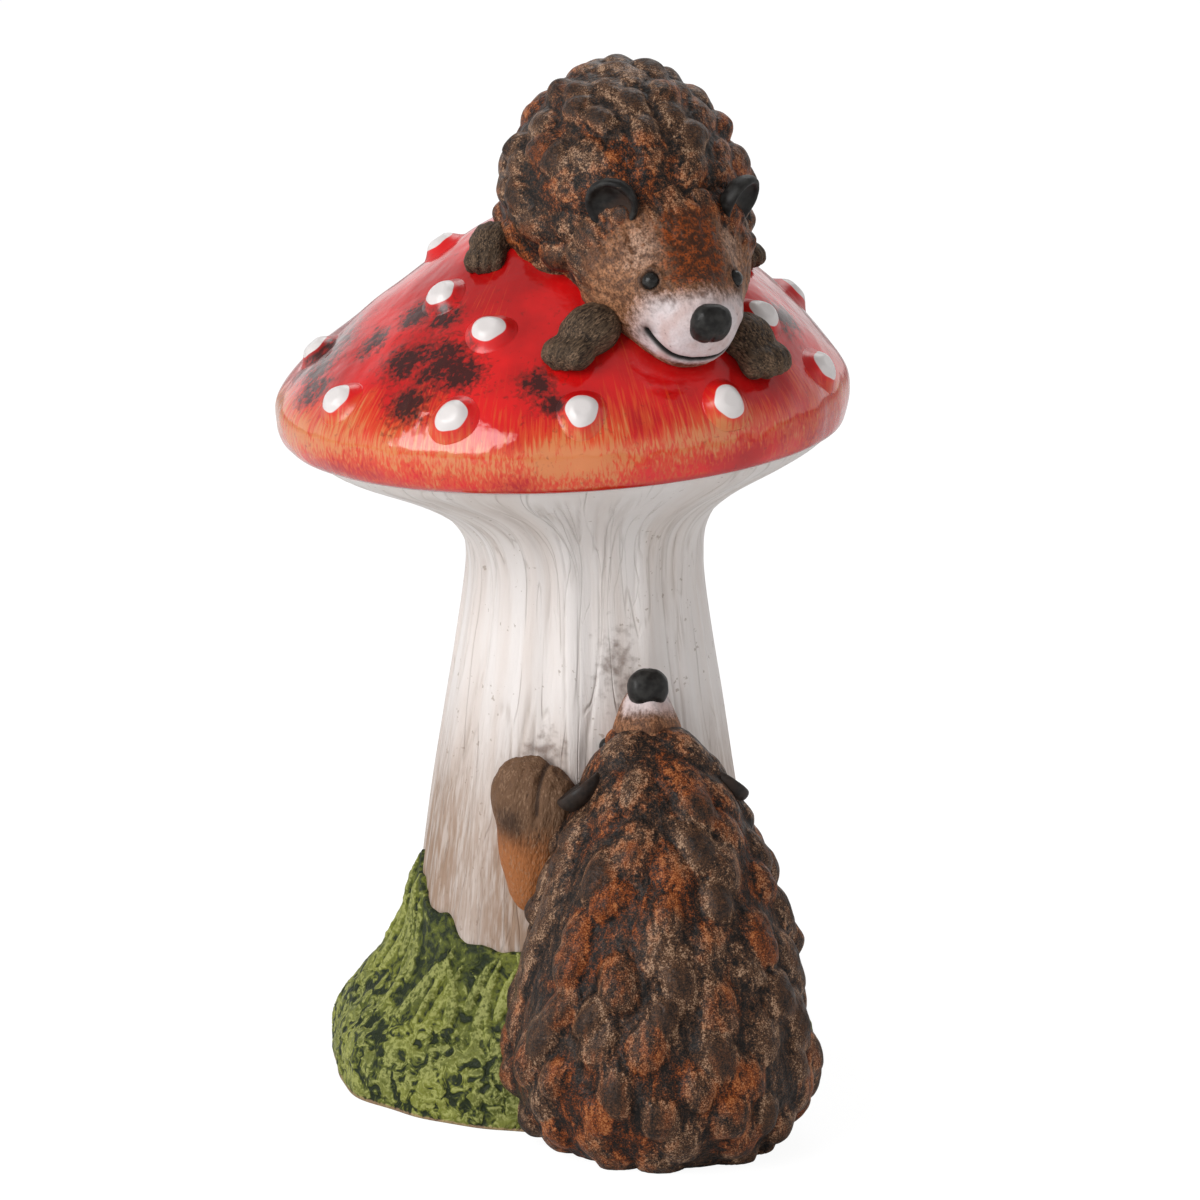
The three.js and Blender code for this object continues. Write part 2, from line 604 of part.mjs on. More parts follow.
// The paws are laid on the cap, at places given from the middle of the body.
const pawSeats = PAWS.map(({ name, forward, side, splay, shape }) => {
  const paw = piece(resting, `resting_${name}`, pawOuter(shape), 'paw');
  const place = vector(forward, side, 0).applyMatrix4(resting.matrix);
  const z = domeHeight(place.x, place.y) - resting.position.z;
  paw.position.set(forward, side, z + 0.3 * shape.height);
  paw.rotation.set(0, 0.3, splay, 'ZYX');
  fit(paw, ...onCap);
  return { of: paw, shape: pawOuter(shape, SEAT_GAP) };
});

SPOTS.forEach(([degrees, share], i) => {
  const turn = THREE.MathUtils.degToRad(degrees);
  const t = (2 / Math.PI) * Math.asin(share ** (DOME_POWER / 2));
  const spot = piece(capFrame, `cap_spot_${String(i + 1).padStart(2, '0')}`, spotGeometry(), 'spot');
  spot.position.copy(capPoint(turn, t));
  spot.quaternion.setFromUnitVectors(vector(0, 1, 0), capNormal(turn, t));
  fit(spot, ...onCap, ...pawSeats);
});

// Climbing hedgehog: it stands on the floor with its belly to the stalk
const CLIMBING_Y = -Math.sqrt((FOOT_R + CLIMBING_OFF) ** 2 - CLIMBING_X ** 2);
const climbing = frame(ornament, vector(CLIMBING_X, CLIMBING_Y, 0), CLIMBING_TURN);
const ground = floor.shape.clone().translate(0, 0, WALL);
const climbingHollow = hollowed(globe(grown(climbingPoint, -WALL), 12, 7), ground);
const climbingShell = hollowed(climbingOuter(0), climbingHollow);
const climbingCoat = piece(climbing, 'climbing_coat', climbingShell, 'coat');
fit(climbingCoat, stalkSeat, floor);
const climbingSeat = { of: climbingCoat, shape: climbingOuter(SEAT_GAP) };
const neckLean = CLIMBING_LEAN * CLIMBING_HEAD.rise ** 2;
const climbingNeck = vector(0, neckLean, CLIMBING_HEAD.rise * CLIMBING_HEIGHT);
const climbingHeadFrame = frame(climbing, climbingNeck, Math.PI / 2, -CLIMBING_HEAD.tilt);
const climbingHeadSeat =
  addHead(climbingHeadFrame, 'climbing', CLIMBING_HEAD, climbingCoat, stalkSeat);

ARMS.forEach(({ name, rise, side, lean }) => {
  const turn = Math.atan2(CLIMBING_Y, CLIMBING_X) + side;
  const arm = piece(ornament, `climbing_${name}`, armGeometry(ARM), 'paw');
  arm.position.copy(stalkPoint(turn, rise * CLIMBING_HEIGHT, 1));
  arm.rotation.set(0, lean, turn + Math.PI / 2, 'ZYX');
  fit(arm, stalkSeat, climbingSeat, climbingHeadSeat);
});

const mound = piece(ornament, 'grass_mound', moundGeometry(), 'grass');
fit(mound, stalkSeat, climbingSeat);

export default ornament;
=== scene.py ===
"""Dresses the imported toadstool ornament: sculpted, painted and glazed surfaces over its CAD frame.

Shapes are worked out in millimetres as grids of points, rows by columns. The columns of a grid
close on themselves, and its two ends close to a point or on each other.
"""
from functools import partial

import bpy
import numpy as np
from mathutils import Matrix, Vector


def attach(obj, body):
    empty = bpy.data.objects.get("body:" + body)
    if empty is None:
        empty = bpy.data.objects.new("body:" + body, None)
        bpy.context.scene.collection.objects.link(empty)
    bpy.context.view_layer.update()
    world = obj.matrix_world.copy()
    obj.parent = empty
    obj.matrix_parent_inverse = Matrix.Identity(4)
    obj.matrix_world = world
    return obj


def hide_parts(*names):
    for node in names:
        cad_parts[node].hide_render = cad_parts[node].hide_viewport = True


bl_info = {
    "name": "Hedgehog Toadstool",
    "version": (1, 0, 0),
    "blender": (4, 5, 0),
    "location": "View3D > Sidebar > Toadstool",
    "description": "Sculpts and paints a toadstool ornament with two hedgehogs",
    "category": "Object",
}

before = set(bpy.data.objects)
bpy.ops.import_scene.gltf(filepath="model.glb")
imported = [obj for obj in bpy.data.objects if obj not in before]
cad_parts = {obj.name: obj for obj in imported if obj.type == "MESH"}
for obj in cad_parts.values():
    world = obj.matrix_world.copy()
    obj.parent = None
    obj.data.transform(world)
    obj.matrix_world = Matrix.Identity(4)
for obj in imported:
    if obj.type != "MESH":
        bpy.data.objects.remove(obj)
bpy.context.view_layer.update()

MM = 0.001
TAU = 2 * np.pi
SIDES = {"left": 1, "right": -1}

# Grids, rows by columns
SHAFT_ROWS, BELL_ROWS, MOUND_ROWS, STALK_COLUMNS = 100, 70, 150, 560
CAP_GRID, SPOT_GRID, COAT_GRID, HEAD_GRID = (190, 480), (40, 72), (290, 330), (280, 330)
NOSE_GRID, EAR_GRID, PAW_GRID, ARM_GRID = (48, 72), (60, 72), (100, 130), (150, 180)

# Stalk, in millimetres as all sizes here
FOOT_R, NECK_R, NECK_Z = 47.0, 31.2, 141.0
TAPER_POWER, BELL_POWER = 1.4, 1.75
FLUTE_DEPTH = 0.8
SEAT_GAP = 0.3
# Space of the streaks: a drum of this radius, squeezed upwards so that its noise runs up the shaft
STREAK_R, STREAK_RISE = 40, 0.12

# Cap
CAP_R, CAP_RISE, CAP_X, CAP_Z = 76.5, 53.0, -6.1, 188.4
CAP_TILT = np.radians(3)
DOME_POWER = 1.3
LIP_DROP, LIP_TUCK, LIP_SWAY, LIP_OVERHANG = 11.5, 4.5, 2.0, 1.5
DOME_SWELL, DOME_SKEW = 0.9, 10.0
GILL_Z = CAP_Z - LIP_DROP - SEAT_GAP
# Smoothing down the dome: passes, and rows at the lip that are left out
CAP_PASSES, LIP_ROWS = 60, 11

# Spots: turn from +X in degrees, share of the cap's radius
SPOT_R = 4.7
SPOTS = [
    (224.5, 0.525), (251, 0.665), (217, 0.92), (248, 0.933), (275, 0.926), (306.5, 0.952), (332, 0.786),
    (340.5, 0.952), (165, 0.39), (181, 0.83), (20, 0.86), (41, 0.62), (60, 0.93), (94, 0.62), (124, 0.9),
]
# Black sponge marks on the glaze: turn, share and radius
BLOTCHES = [
    (189, 0.80, 12.0), (197, 0.86, 6.5), (229, 0.77, 7.5), (240, 0.77, 10.0), (247, 0.80, 7.5),
    (218, 0.60, 6.5), (232, 0.60, 6.0), (236, 0.90, 7.0), (266, 0.84, 5.5), (269, 0.90, 4.5),
    (203, 0.90, 7.0), (210, 0.72, 6.0), (342, 0.82, 6.5), (30, 0.75, 8.0), (75, 0.8, 9.0),
    (112, 0.7, 8.5), (146, 0.85, 9.0), (160, 0.65, 7.0),
]

# Grass mound
MOUND_SPREAD, MOUND_LEFT, MOUND_HEIGHT, TUFT_HEIGHT = 8.0, 8.0, 44.5, 14.0
BLADE_HEIGHT, BLADES, BLADE_ROOT, BLADE_TIP, BLADE_RELIEF = 3.0, 11, 6.0, 0.8, 2.4
FINE_BLADES = 84
# How far the mound's inner wall is sunk into the stalk
MOUND_SINK = 2.5

# Knobs, the blunt spines: distance of rows and half width as shares of their spacing, length as a share
# of width, power of the rounded square, how sharply two of them meet, how far they are shifted
# and twisted, and how many rows away they reach
KNOB_PITCH, KNOB_HALF, KNOB_STRETCH, KNOB_POWER, KNOB_CUSP = 1.05, 0.66, 1.4, 2.4, 9
KNOB_SHIFT, KNOB_TWIST, KNOB_REACH = 0.24, 0.35, 2.2
# Spines at the back of a head: spacing, and the shares of its length where they start and end
HEAD_SPINES = (7.0, 0.35, 0.97)
# Spines lie low this far round an ear
EAR_CLEARING = 11

# Resting hedgehog; its paws are ahead of its middle and aside, splayed, and of a size
RESTING_X, RESTING_Y, RESTING_LIFT = 19.5, -10.0, 8.5
RESTING_HEADING, RESTING_PITCH = np.radians(-78.5), np.radians(8)
RESTING_LENGTH, RESTING_WIDTH, RESTING_HEIGHT, RESTING_PEAR = 38.0, 31.6, 31.2, 0.15
PAWS = {
    "left_front": (37.5, 24.0, 0.45, 1.0),
    "right_front": (42.5, -21.0, -1.0, 1.0),
    "left_hind": (-10.0, 31.0, 0.5, 0.78),
    "right_hind": (3.0, -37.0, -0.5, 0.78),
}

# Climbing hedgehog; its forelegs rise by a share of its height, are turned round the stalk, and lean
CLIMBING_X, CLIMBING_OFF, CLIMBING_TURN = 20.5, 17.0, np.radians(10)
CLIMBING_R, CLIMBING_HEIGHT, CLIMBING_LEAN, CLIMBING_SWAY = 40.0, 108.0, 20.0, 1.5
CLIMBING_WAIST, CLIMBING_UNDER, CLIMBING_RISE = 0.2, 0.29, 0.68
ARMS = {"left": (0.77, -0.68, 0.15), "right": (0.7, 0.52, -0.15)}

# Heads: half width, crown and jaw of skull and muzzle; nose ahead of the neck, up and in shape; eyes
# behind the tip and ears ahead of the neck, each turned from the top, the ears also out
HEADS = {
    "resting": {
        "length": 48.0, "skull": (29.0, 22.0, 22.0), "muzzle": (10.5, 7.0, 19.0),
        "nose": (47.0, 1.2, (0.75, 1.0, 1.0)), "eye": (16.0, 70.0), "ear": (12.0, 48.0, 2.0),
    },
    "climbing": {
        "length": 46.0, "skull": (20.0, 17.5, 17.5), "muzzle": (6.5, 6.0, 7.0),
        "nose": (44.5, 2.5, (0.95, 1.0, 0.8)), "eye": (16.0, 126.0), "ear": (18.0, 85.0, 4.0),
    },
}
JOWL = 0.45
NOSE_R, EYE_R, EAR_R = 5.6, 2.4, 7.0
# The right half of the smile on the resting head, from its corner to the middle
MOUTH = np.array([
    (39.2, -12.6, -6.6), (40.4, -11.9, -7.6), (41.6, -11.1, -8.3), (43.6, -9.2, -9.6), (45.0, -7.0, -10.5),
    (46.0, -3.9, -11.0), (46.4, 0.0, -11.2),
])
# Section of an ear, out and up from the back to the bottom of the cup, as shares of its radius
EAR_PROFILE = np.array([
    (0.03, -0.55), (0.4, -0.52), (0.72, -0.4), (0.94, -0.14), (1.02, 0.12), (0.98, 0.27), (0.9, 0.32),
    (0.8, 0.28), (0.7, 0.16), (0.5, 0.05), (0.25, -0.02), (0.03, -0.03),
])
# Ellipsoids of a paw and a left foreleg: centre and half axes
PAW_PARTS = [
    ((-3.0, 0.0, 1.0), (9.0, 7.6, 6.6)), ((6.2, -4.6, -0.8), (4.6, 2.5, 3.8)),
    ((7.4, -1.6, -0.4), (4.8, 2.4, 4.0)), ((7.2, 1.6, -0.4), (4.8, 2.4, 4.0)),
    ((6.0, 4.6, -0.8), (4.6, 2.5, 3.8)),
]
ARM_PARTS = [
    ((-1.0, -0.5, 3.5), (10.2, 7.6, 10.5)), ((7.6, -0.5, 1.5), (5.0, 5.6, 8.0)),
    ((1.5, -0.5, -9.0), (8.6, 6.6, 11.0)), ((3.5, 0.0, -20.0), (6.0, 5.0, 9.0)),
]
# Halvings of a ray that find the surface of a soft form
HALVINGS = 24
# Hair runs along a limb: the space of its noise is squeezed by this share
HAIR_SQUEEZE = 0.28

# Stage, in metres and watts: place, size and power of each lamp, and the camera
LAMPS = {
    "key": ((-1.2, -1.0, 1.0), 1.2, 26.5),
    "fill": ((1.5, -0.7, 0.5), 1.0, 4.8),
    "back": ((0.2, 1.1, 1.3), 1.0, 7.0),
}
LAMP_TARGET, CAMERA_TARGET = Vector((0, 0, 0.14)), Vector((0.0043, 0, 0.13))
CAMERA_AWAY, CAMERA_RISE, CAMERA_LENS, SENSOR_WIDTH = 2.0, np.radians(14.5), 224.4, 36.0
# Floor: half its width, the paper's grey, the glow and the share of it that the camera sees
FLOOR_HALF, PAPER, GLOW, GLOW_SHARE = 6, 0.88, 1.12, 0.83
# Least light of the world, and the light that reflections fade to upwards
DIM, ZENITH = 0.33, 0.3


# Grids and frames

def xyz(x, y, z):
    """Points from three arrays that broadcast together."""
    return np.stack(np.broadcast_arrays(x, y, z), -1).astype(float)


def circle(r, turn, z):
    """Points at a radius and a turn round Z, at a height."""
    return xyz(r * np.cos(turn), r * np.sin(turn), z)


def ease(x):
    """Cubic step from 0 to 1."""
    x = np.clip(x, 0, 1)
    return x * x * (3 - 2 * x)


def bump(distance, radius):
    """Bell curve: 1 at no distance, about a third at the radius."""
    return np.exp(-(distance / radius) ** 2)


def far(points, place=0.0):
    """Distance of points from a place."""
    return np.linalg.norm(points - place, axis=-1)


def near(points, place, radius):
    """Bell curve round a place."""
    return bump(far(points, place), radius)


def unit(vectors):
    """Vectors divided by their lengths."""
    return vectors / np.maximum(far(vectors), 1e-9)[..., None]


def turns(columns):
    """Even angles all round, one for each column."""
    return TAU * np.arange(columns) / columns


def ball(rows, columns):
    """Directions all round, in rows from +X to -X without the poles."""
    polar = (np.pi * (np.arange(rows) + 1) / (rows + 1))[:, None]
    turn = turns(columns)
    return xyz(np.cos(polar), np.sin(polar) * np.cos(turn), np.sin(polar) * np.sin(turn))


def placed(position, yaw=0.0, pitch=0.0, roll=0.0):
    """Frame at a position, turned about Z, then its own Y, then its own X."""
    (a, b, c), (d, e, f) = np.cos([yaw, pitch, roll]), np.sin([yaw, pitch, roll])
    matrix = np.eye(4)
    matrix[:3, :3] = (
        np.array([[a, -d, 0], [d, a, 0], [0, 0, 1]])
        @ np.array([[b, 0, e], [0, 1, 0], [-e, 0, b]])
        @ np.array([[1, 0, 0], [0, c, -f], [0, f, c]])
    )
    matrix[:3, 3] = position
    return matrix


def moved(points, matrix):
    """Points turned and then shifted by the matrix of a frame."""
    return np.asarray(points) @ matrix[:3, :3].T + matrix[:3, 3]


def normals(grid):
    """Outward directions of a closed grid: the cross product of its ways along and around."""
    out = unit(np.cross(np.gradient(grid, axis=0), np.roll(grid, -1, 1) - np.roll(grid, 1, 1)))
    return out if np.sum(out * (grid - grid.mean((0, 1)))) > 0 else -out


def raised(grid, height):
    """Grid pushed out along its normals by a height."""
    return grid + normals(grid) * height[..., None]


def noise(points, seed=0):
    """Noise from -1 to 1: a random number for each corner of a unit lattice, blended by a cubic step."""
    cell = np.floor(points).astype(np.int64)
    share = ease(points - cell)
    total = np.zeros(points.shape[:-1])
    for corner in np.ndindex(2, 2, 2):
        key = (cell + corner) @ np.array([73856093, 19349663, 83492791]) + seed * 50331653
        key = ((key ^ (key >> 13)) * 1274126177) & 0x7FFFFFFF
        value = ((key ^ (key >> 15)) & 0xFFFF) / 32767.5 - 1
        total += value * np.prod(np.where(corner, share, 1 - share), axis=-1)
    return total


def clouds(points, size, octaves=3, seed=0):
    """Noise at a size and its halves, each half as strong."""
    layers = [noise(points / size * 2 ** k, seed + k) / 2 ** k for k in range(octaves)]
    return sum(layers) / (2 - 2.0 ** (1 - octaves))


def ridges(points, size, seed=0):
    """Winding ridges from 0 to 1: the crests are where the noise changes sign."""
    return np.clip(1 - 2.4 * np.abs(noise(points / size, seed)), 0, 1)


def warped(grid):
    """Grid that noise has pushed about, to make the outlines that are worked out on it uneven."""
    push = 0.0
    for size, share in ((9, 1.5), (3.5, 0.5)):
        push = push + share * xyz(*(clouds(grid, size, 1, seed) for seed in (31, 32, 33)))
    return grid + push


def ways(points):
    """Length along a line of points, from its start to each of them."""
    return np.concatenate([[0.0], np.cumsum(far(np.diff(points, axis=0)))])


def even(point, low, high, rows):
    """Values between low and high at even steps along a line of points, and the size of a step."""
    fine = np.linspace(low, high, 3000)
    way = ways(point(fine))
    step = way[-1] / (rows + 1)
    return np.interp(step * (np.arange(rows) + 1), way, fine), step


def even_polars(point, rows):
    """Angles from pole to pole, without the poles, even along the meridian that faces -Y."""
    return even(partial(point, -np.pi / 2), 0, np.pi, rows)


# Shapes that the CAD frame shares

def lip_radius(turn):
    """Radius of the cap less the tuck of its lip, with a sway that follows the cosine of the turn."""
    return CAP_R - LIP_TUCK + LIP_SWAY * np.cos(turn)


def stalk_point(turn, z, grow=0.0):
    """Shaft that tapers to the neck by a power law, then a bell that opens into the gills and turns over
    into the frame of the cap."""
    taper = np.clip(1 - (np.minimum(z, NECK_Z) / NECK_Z) ** 2, 0, 1) ** TAPER_POWER
    bell = np.clip((z - NECK_Z) / (GILL_Z - NECK_Z), 0, 1)
    flare = 0.8 * ease(bell ** BELL_POWER) + 0.2 * bell * bell
    bell = ease(bell)
    flute = FLUTE_DEPTH * (0.6 * np.sin(11 * turn + 0.7) + 0.4 * np.sin(19 * turn + 2))
    r = NECK_R + (FOOT_R - NECK_R) * taper + (lip_radius(turn) - LIP_OVERHANG - NECK_R) * flare
    upright = circle(r + flute * (1 - bell) + grow, turn, z)
    tilted = moved(upright - (0, 0, CAP_Z), CAP)
    return upright + (tilted - upright) * np.broadcast_to(bell, upright.shape[:-1])[..., None]


def dome_height(x, y):
    """Rounded cone with a swell in three lobes and a fuller right shoulder, in the frame of the cap."""
    turn = np.arctan2(y, x)
    share = np.minimum(1, np.hypot(x, y) / CAP_R)
    swell = DOME_SWELL * np.sin(3 * turn + 1) * share ** 2 * (1 - share ** 8)
    skew = DOME_SKEW * share * np.cos(turn) * (1 - share ** 2)
    return CAP_RISE * (1 - share ** DOME_POWER) ** (1 / DOME_POWER) + swell + skew


def dome_t(share):
    """The t of a cap point at a share of the cap's radius."""
    return 2 / np.pi * np.arcsin(share ** (DOME_POWER / 2))


def cap_point(turn, t):
    """Dome for t from 0 to 1, then the edge that rolls under to the lip for t from 1 to 2."""
    roll = np.pi / 2 * np.clip(t - 1, 0, 1)
    r = CAP_R * np.sin(np.pi / 2 * np.clip(t, 0, 1)) ** (2 / DOME_POWER)
    r = r - (CAP_R - lip_radius(turn)) * (1 - np.cos(roll))
    x, y = r * np.cos(turn), r * np.sin(turn)
    return xyz(x, y, np.where(t < 1, dome_height(x, y), -LIP_DROP * np.sin(roll)))


def resting_point(turn, polar):
    """Ellipsoid with its poles at head and tail, narrower above than below."""
    up = np.sin(polar) * np.sin(turn)
    side = np.sin(polar) * np.cos(turn) * (1 - RESTING_PEAR * up)
    return xyz(RESTING_LENGTH * np.cos(polar), RESTING_WIDTH * side, RESTING_HEIGHT * up)


def climbing_point(turn, polar):
    """Egg on end: level rings round a line that leans to the stalk."""
    c = np.cos(polar)
    rise = np.where(c > 0, (1 - CLIMBING_WAIST) * np.abs(c) ** 1.25, CLIMBING_UNDER * c)
    share = CLIMBING_WAIST + rise
    r = CLIMBING_R * np.where(c > 0, (1 - np.abs(c) ** 1.45) ** 0.45, np.abs(np.sin(polar)))
    lean = np.maximum(share, 0) ** 2
    x, y = CLIMBING_SWAY * lean + r * np.cos(turn), CLIMBING_LEAN * lean + r * np.sin(turn)
    return xyz(x, y, CLIMBING_HEIGHT * share)


def head_point(name, turn, polar):
    """Skull that eases away into a blunt muzzle, along X from the neck to the nose, wider below the middle
    line than above it."""
    head = HEADS[name]
    share = 0.5 + 0.5 * np.cos(polar)
    away, blunt, neck = 1 - ease(share), np.sqrt(1 - share ** 12), np.sqrt(1 - (1 - share) ** 8)
    sizes = zip(head["skull"], head["muzzle"])
    width, crown, jaw = (((skull - muzzle) * away + muzzle * blunt) * neck for skull, muzzle in sizes)
    out, up = np.cos(turn), np.sin(turn)
    side = width * out * (1 - JOWL * ease(share / 0.6) * up)
    return xyz(share * head["length"], side, np.where(up > 0, crown, jaw) * up)


def on_head(name, ahead, degrees, out=0.0):
    """Places on both sides of a head, ahead of its neck and turned from its top, or out from there."""
    places = {}
    for side, sign in SIDES.items():
        angle = sign * np.radians(degrees)
        polar = np.arccos(2 * ahead / HEADS[name]["length"] - 1)
        direction = xyz(0, np.sin(angle), np.cos(angle))
        places[side] = head_point(name, np.pi / 2 - angle, polar) + out * direction
    return places


def eye_places(name):
    """Middles of the two eyes in the frame of the head."""
    back, degrees = HEADS[name]["eye"]
    return on_head(name, HEADS[name]["length"] - back, degrees, -0.2 * EYE_R)


CAP = placed((CAP_X, 0, CAP_Z), pitch=-CAP_TILT)
RESTING_Z = float(dome_height(RESTING_X, RESTING_Y)) + RESTING_LIFT
RESTING = CAP @ placed((RESTING_X, RESTING_Y, RESTING_Z), RESTING_HEADING)
RESTING_COAT = RESTING @ placed((0, 0, 0), pitch=RESTING_PITCH)
CLIMBING_Y = -np.sqrt((FOOT_R + CLIMBING_OFF) ** 2 - CLIMBING_X ** 2)
CLIMBING = placed((CLIMBING_X, CLIMBING_Y, 0), CLIMBING_TURN)
CLIMBING_NECK = (0, CLIMBING_LEAN * CLIMBING_RISE ** 2, CLIMBING_RISE * CLIMBING_HEIGHT)
HEAD_FRAMES = {
    "resting": RESTING @ placed((17, 2.5, -5), np.radians(9), np.radians(28), np.radians(-7)),
    "climbing": CLIMBING @ placed(CLIMBING_NECK, np.pi / 2, -np.radians(72)),
}
# Coats: body and frame, squeeze of the streaks along the body, spacing of the spines, the shares of the
# body where they start and end, the share of their full height, and lift of the body
COATS = {
    "resting": (resting_point, RESTING_COAT, (0.3, 1, 1), 7.4, 0.14, 0.97, 0.8, 0.1),
    "climbing": (climbing_point, CLIMBING, (1, 1, 0.3), 8.7, 0.05, 0.9, 1.0, -0.4),
}


def arm_frame(side):
    """Frame of a foreleg on the stalk: X round the stalk, Y inwards, Z up."""
    rise, angle, lean = ARMS[side]
    turn = np.arctan2(CLIMBING_Y, CLIMBING_X) + angle
    return placed(stalk_point(turn, np.array(rise * CLIMBING_HEIGHT), 1), turn + np.pi / 2, lean)


# Soft forms

def blob(parts, blend, shape, centre=(0.0, 0.0, 0.0), reach=70.0):
    """Ellipsoids (centre, half axes) that flow into one another: each ray from a point inside ends where the
    blended distance to the ellipsoids is nought, found by halving."""
    ray = ball(*shape)
    low, high = np.zeros(ray.shape[:2]), np.full(ray.shape[:2], reach)
    for _ in range(HALVINGS):
        middle = (low + high) / 2
        place = centre + ray * middle[..., None]
        total = 0.0
        for at, axes in parts:
            q = (place - at) / axes
            k = far(q)
            distance = k * (k - 1) / np.maximum(far(q / axes), 1e-9)
            total = total + np.exp(-np.clip(distance / blend, -30, 30))
        inside = total > 1
        low, high = np.where(inside, middle, low), np.where(inside, high, middle)
    return centre + ray * low[..., None]


def shake(row, i, use):
    """Steady number from -1 to 1 for each spine and each use of it."""
    x = 43758.5453 * np.sin(12.9898 * row + 78.233 * i + 37.719 * use)
    return 2 * (x - np.floor(x)) - 1


def knobs(point, shape, spacing, start, end):
    """Blunt spines over a body, between two shares of its length: staggered, uneven rows of rounded square
    domes on their own axes along, around and out, highest towards the tail. Where spines meet they flow
    together: the height is the logarithm of their summed powers. Gives the body's grid, the height, about
    0 to 1, and a random tone for the nearest spine."""
    polar, step = even_polars(point, shape[0])
    base = point(turns(shape[1]), polar[:, None])
    grid = warped(base)
    nearest, total, tone = np.full(shape, 9.0), np.zeros(shape), np.full(shape, 0.5)
    pitch = KNOB_PITCH * spacing / step
    for row in range(int(len(polar) / pitch)):
        middle = int((row + 0.5) * pitch)
        share = polar[middle] / np.pi
        if not start < share < end:
            continue
        girth = far(point(0.0, polar[middle]), point(np.pi, polar[middle])) * np.pi / 2
        count = max(3, int(girth / spacing + 0.5))
        i = np.arange(count)
        turn = TAU * (i + (row % 2) / 2 + KNOB_SHIFT * shake(row, i, 0)) / count
        down = np.interp(middle + KNOB_SHIFT * pitch * shake(row, i, 1), np.arange(len(polar)), polar)
        at = point(turn, down)
        along = unit(point(turn, down + 0.01) - point(turn, down - 0.01))
        around = unit(point(turn + 0.01, down) - point(turn - 0.01, down))
        swing = KNOB_TWIST * shake(row, i, 3)[:, None]
        along, around = along + swing * around, around - swing * along
        axes = np.stack([along / KNOB_STRETCH, around, np.cross(along, around)], -1)
        reach = KNOB_REACH * pitch
        band = slice(max(0, int(middle - reach)), int(middle + reach))
        fade = 0.6 + 0.4 * ease((share - start) / 0.12)
        for k in range(count):
            size = KNOB_HALF * spacing * (1 + 0.16 * shake(row, k, 5))
            offset = (grid[band] - at[k]) @ axes[k] / size
            distance = np.sum(np.abs(offset) ** KNOB_POWER, -1) ** (1 / KNOB_POWER)
            strength = fade * (0.85 + 0.3 * shake(row, k, 2)) * (1 + 0.25 * np.clip(offset[..., 0], -1, 1))
            total[band] += np.expm1(KNOB_CUSP * strength * np.clip(1 - distance ** 2, 0, 1))
            wins = distance < nearest[band]
            nearest[band] = np.where(wins, distance, nearest[band])
            tone[band] = np.where(wins, 0.5 + 0.5 * shake(row, k, 4), tone[band])
    return base, np.log1p(total) / KNOB_CUSP, tone


# Paints

class Palette:
    """Short calls that add shader nodes to one tree and give back their output sockets."""

    def __init__(self, tree):
        self.tree = tree

    def feed(self, node, inputs):
        """Links the inputs that are sockets, and sets the plain ones."""
        for key, value in inputs.items():
            if isinstance(value, bpy.types.NodeSocket):
                self.tree.links.new(value, node.inputs[key])
            else:
                node.inputs[key].default_value = value

    def add(self, kind, inputs, output=0, **settings):
        node = self.tree.nodes.new(kind)
        for key, value in settings.items():
            setattr(node, key, value)
        self.feed(node, inputs)
        return node.outputs[output]

    def place(self):
        return self.add("ShaderNodeTexCoord", {}, "Object")

    def field(self, name, output="Fac"):
        return self.add("ShaderNodeAttribute", {}, output, attribute_name=name)

    def ray(self, kind):
        return self.add("ShaderNodeLightPath", {}, f"Is {kind} Ray")

    def noise(self, vector, scale, detail=3.0, distortion=0.0):
        """Noise about nought, between -0.5 and 0.5."""
        inputs = {"Vector": vector, "Scale": scale, "Detail": detail, "Distortion": distortion}
        return self.math("SUBTRACT", self.add("ShaderNodeTexNoise", inputs), 0.5)

    def span(self, value, low, high, start=0.0, end=1.0):
        """Smooth step from start to end while a value goes from low to high."""
        inputs = {"Value": value, "From Min": low, "From Max": high, "To Min": start, "To Max": end}
        return self.add("ShaderNodeMapRange", inputs, interpolation_type="SMOOTHSTEP")

    def math(self, operation, result, *values):
        for value in values:
            result = self.add("ShaderNodeMath", {0: result, 1: value}, operation=operation)
        return result

    def times(self, *values):
        return self.math("MULTIPLY", *values)

    def most(self, *values):
        return self.math("MAXIMUM", *values)

    def plus(self, *terms):
        """Sum of terms, each a value or a value with its weight."""
        return self.math("ADD", *(self.times(*term) if isinstance(term, tuple) else term for term in terms))

    def mix(self, share, a, b, blend="MIX"):
        a, b = (x if isinstance(x, bpy.types.NodeSocket) else (*x, 1.0) for x in (a, b))
        return self.add("ShaderNodeMix", {0: share, 6: a, 7: b}, 2, data_type="RGBA", blend_type=blend)

    def over(self, colour, paint, level, low, high, most=1.0):
        """Paint over a colour, from none to most while a level goes from low to high."""
        return self.mix(self.span(level, low, high, 0.0, most), colour, paint)

    def group(self, build, output, **inputs):
        """Places the node group of a function, which is built once from its palette and input sockets."""
        name = build.__name__.replace("_", " ").capitalize()
        tree = bpy.data.node_groups.get(name)
        if not tree:
            tree = bpy.data.node_groups.new(name, "ShaderNodeTree")
            for key in inputs:
                kind = "NodeSocketVector" if key == "Vector" else "NodeSocketFloat"
                tree.interface.new_socket(key, in_out="INPUT", socket_type=kind)
            tree.interface.new_socket(output, in_out="OUTPUT", socket_type="NodeSocketFloat")
            source, target = tree.nodes.new("NodeGroupInput"), tree.nodes.new("NodeGroupOutput")
            tree.links.new(build(Palette(tree), source.outputs), target.inputs[output])
        return self.add("ShaderNodeGroup", inputs, output, node_tree=tree)

    def clay(self, scale):
        return self.group(clay_grain, "Height", Vector=self.place(), Scale=scale)


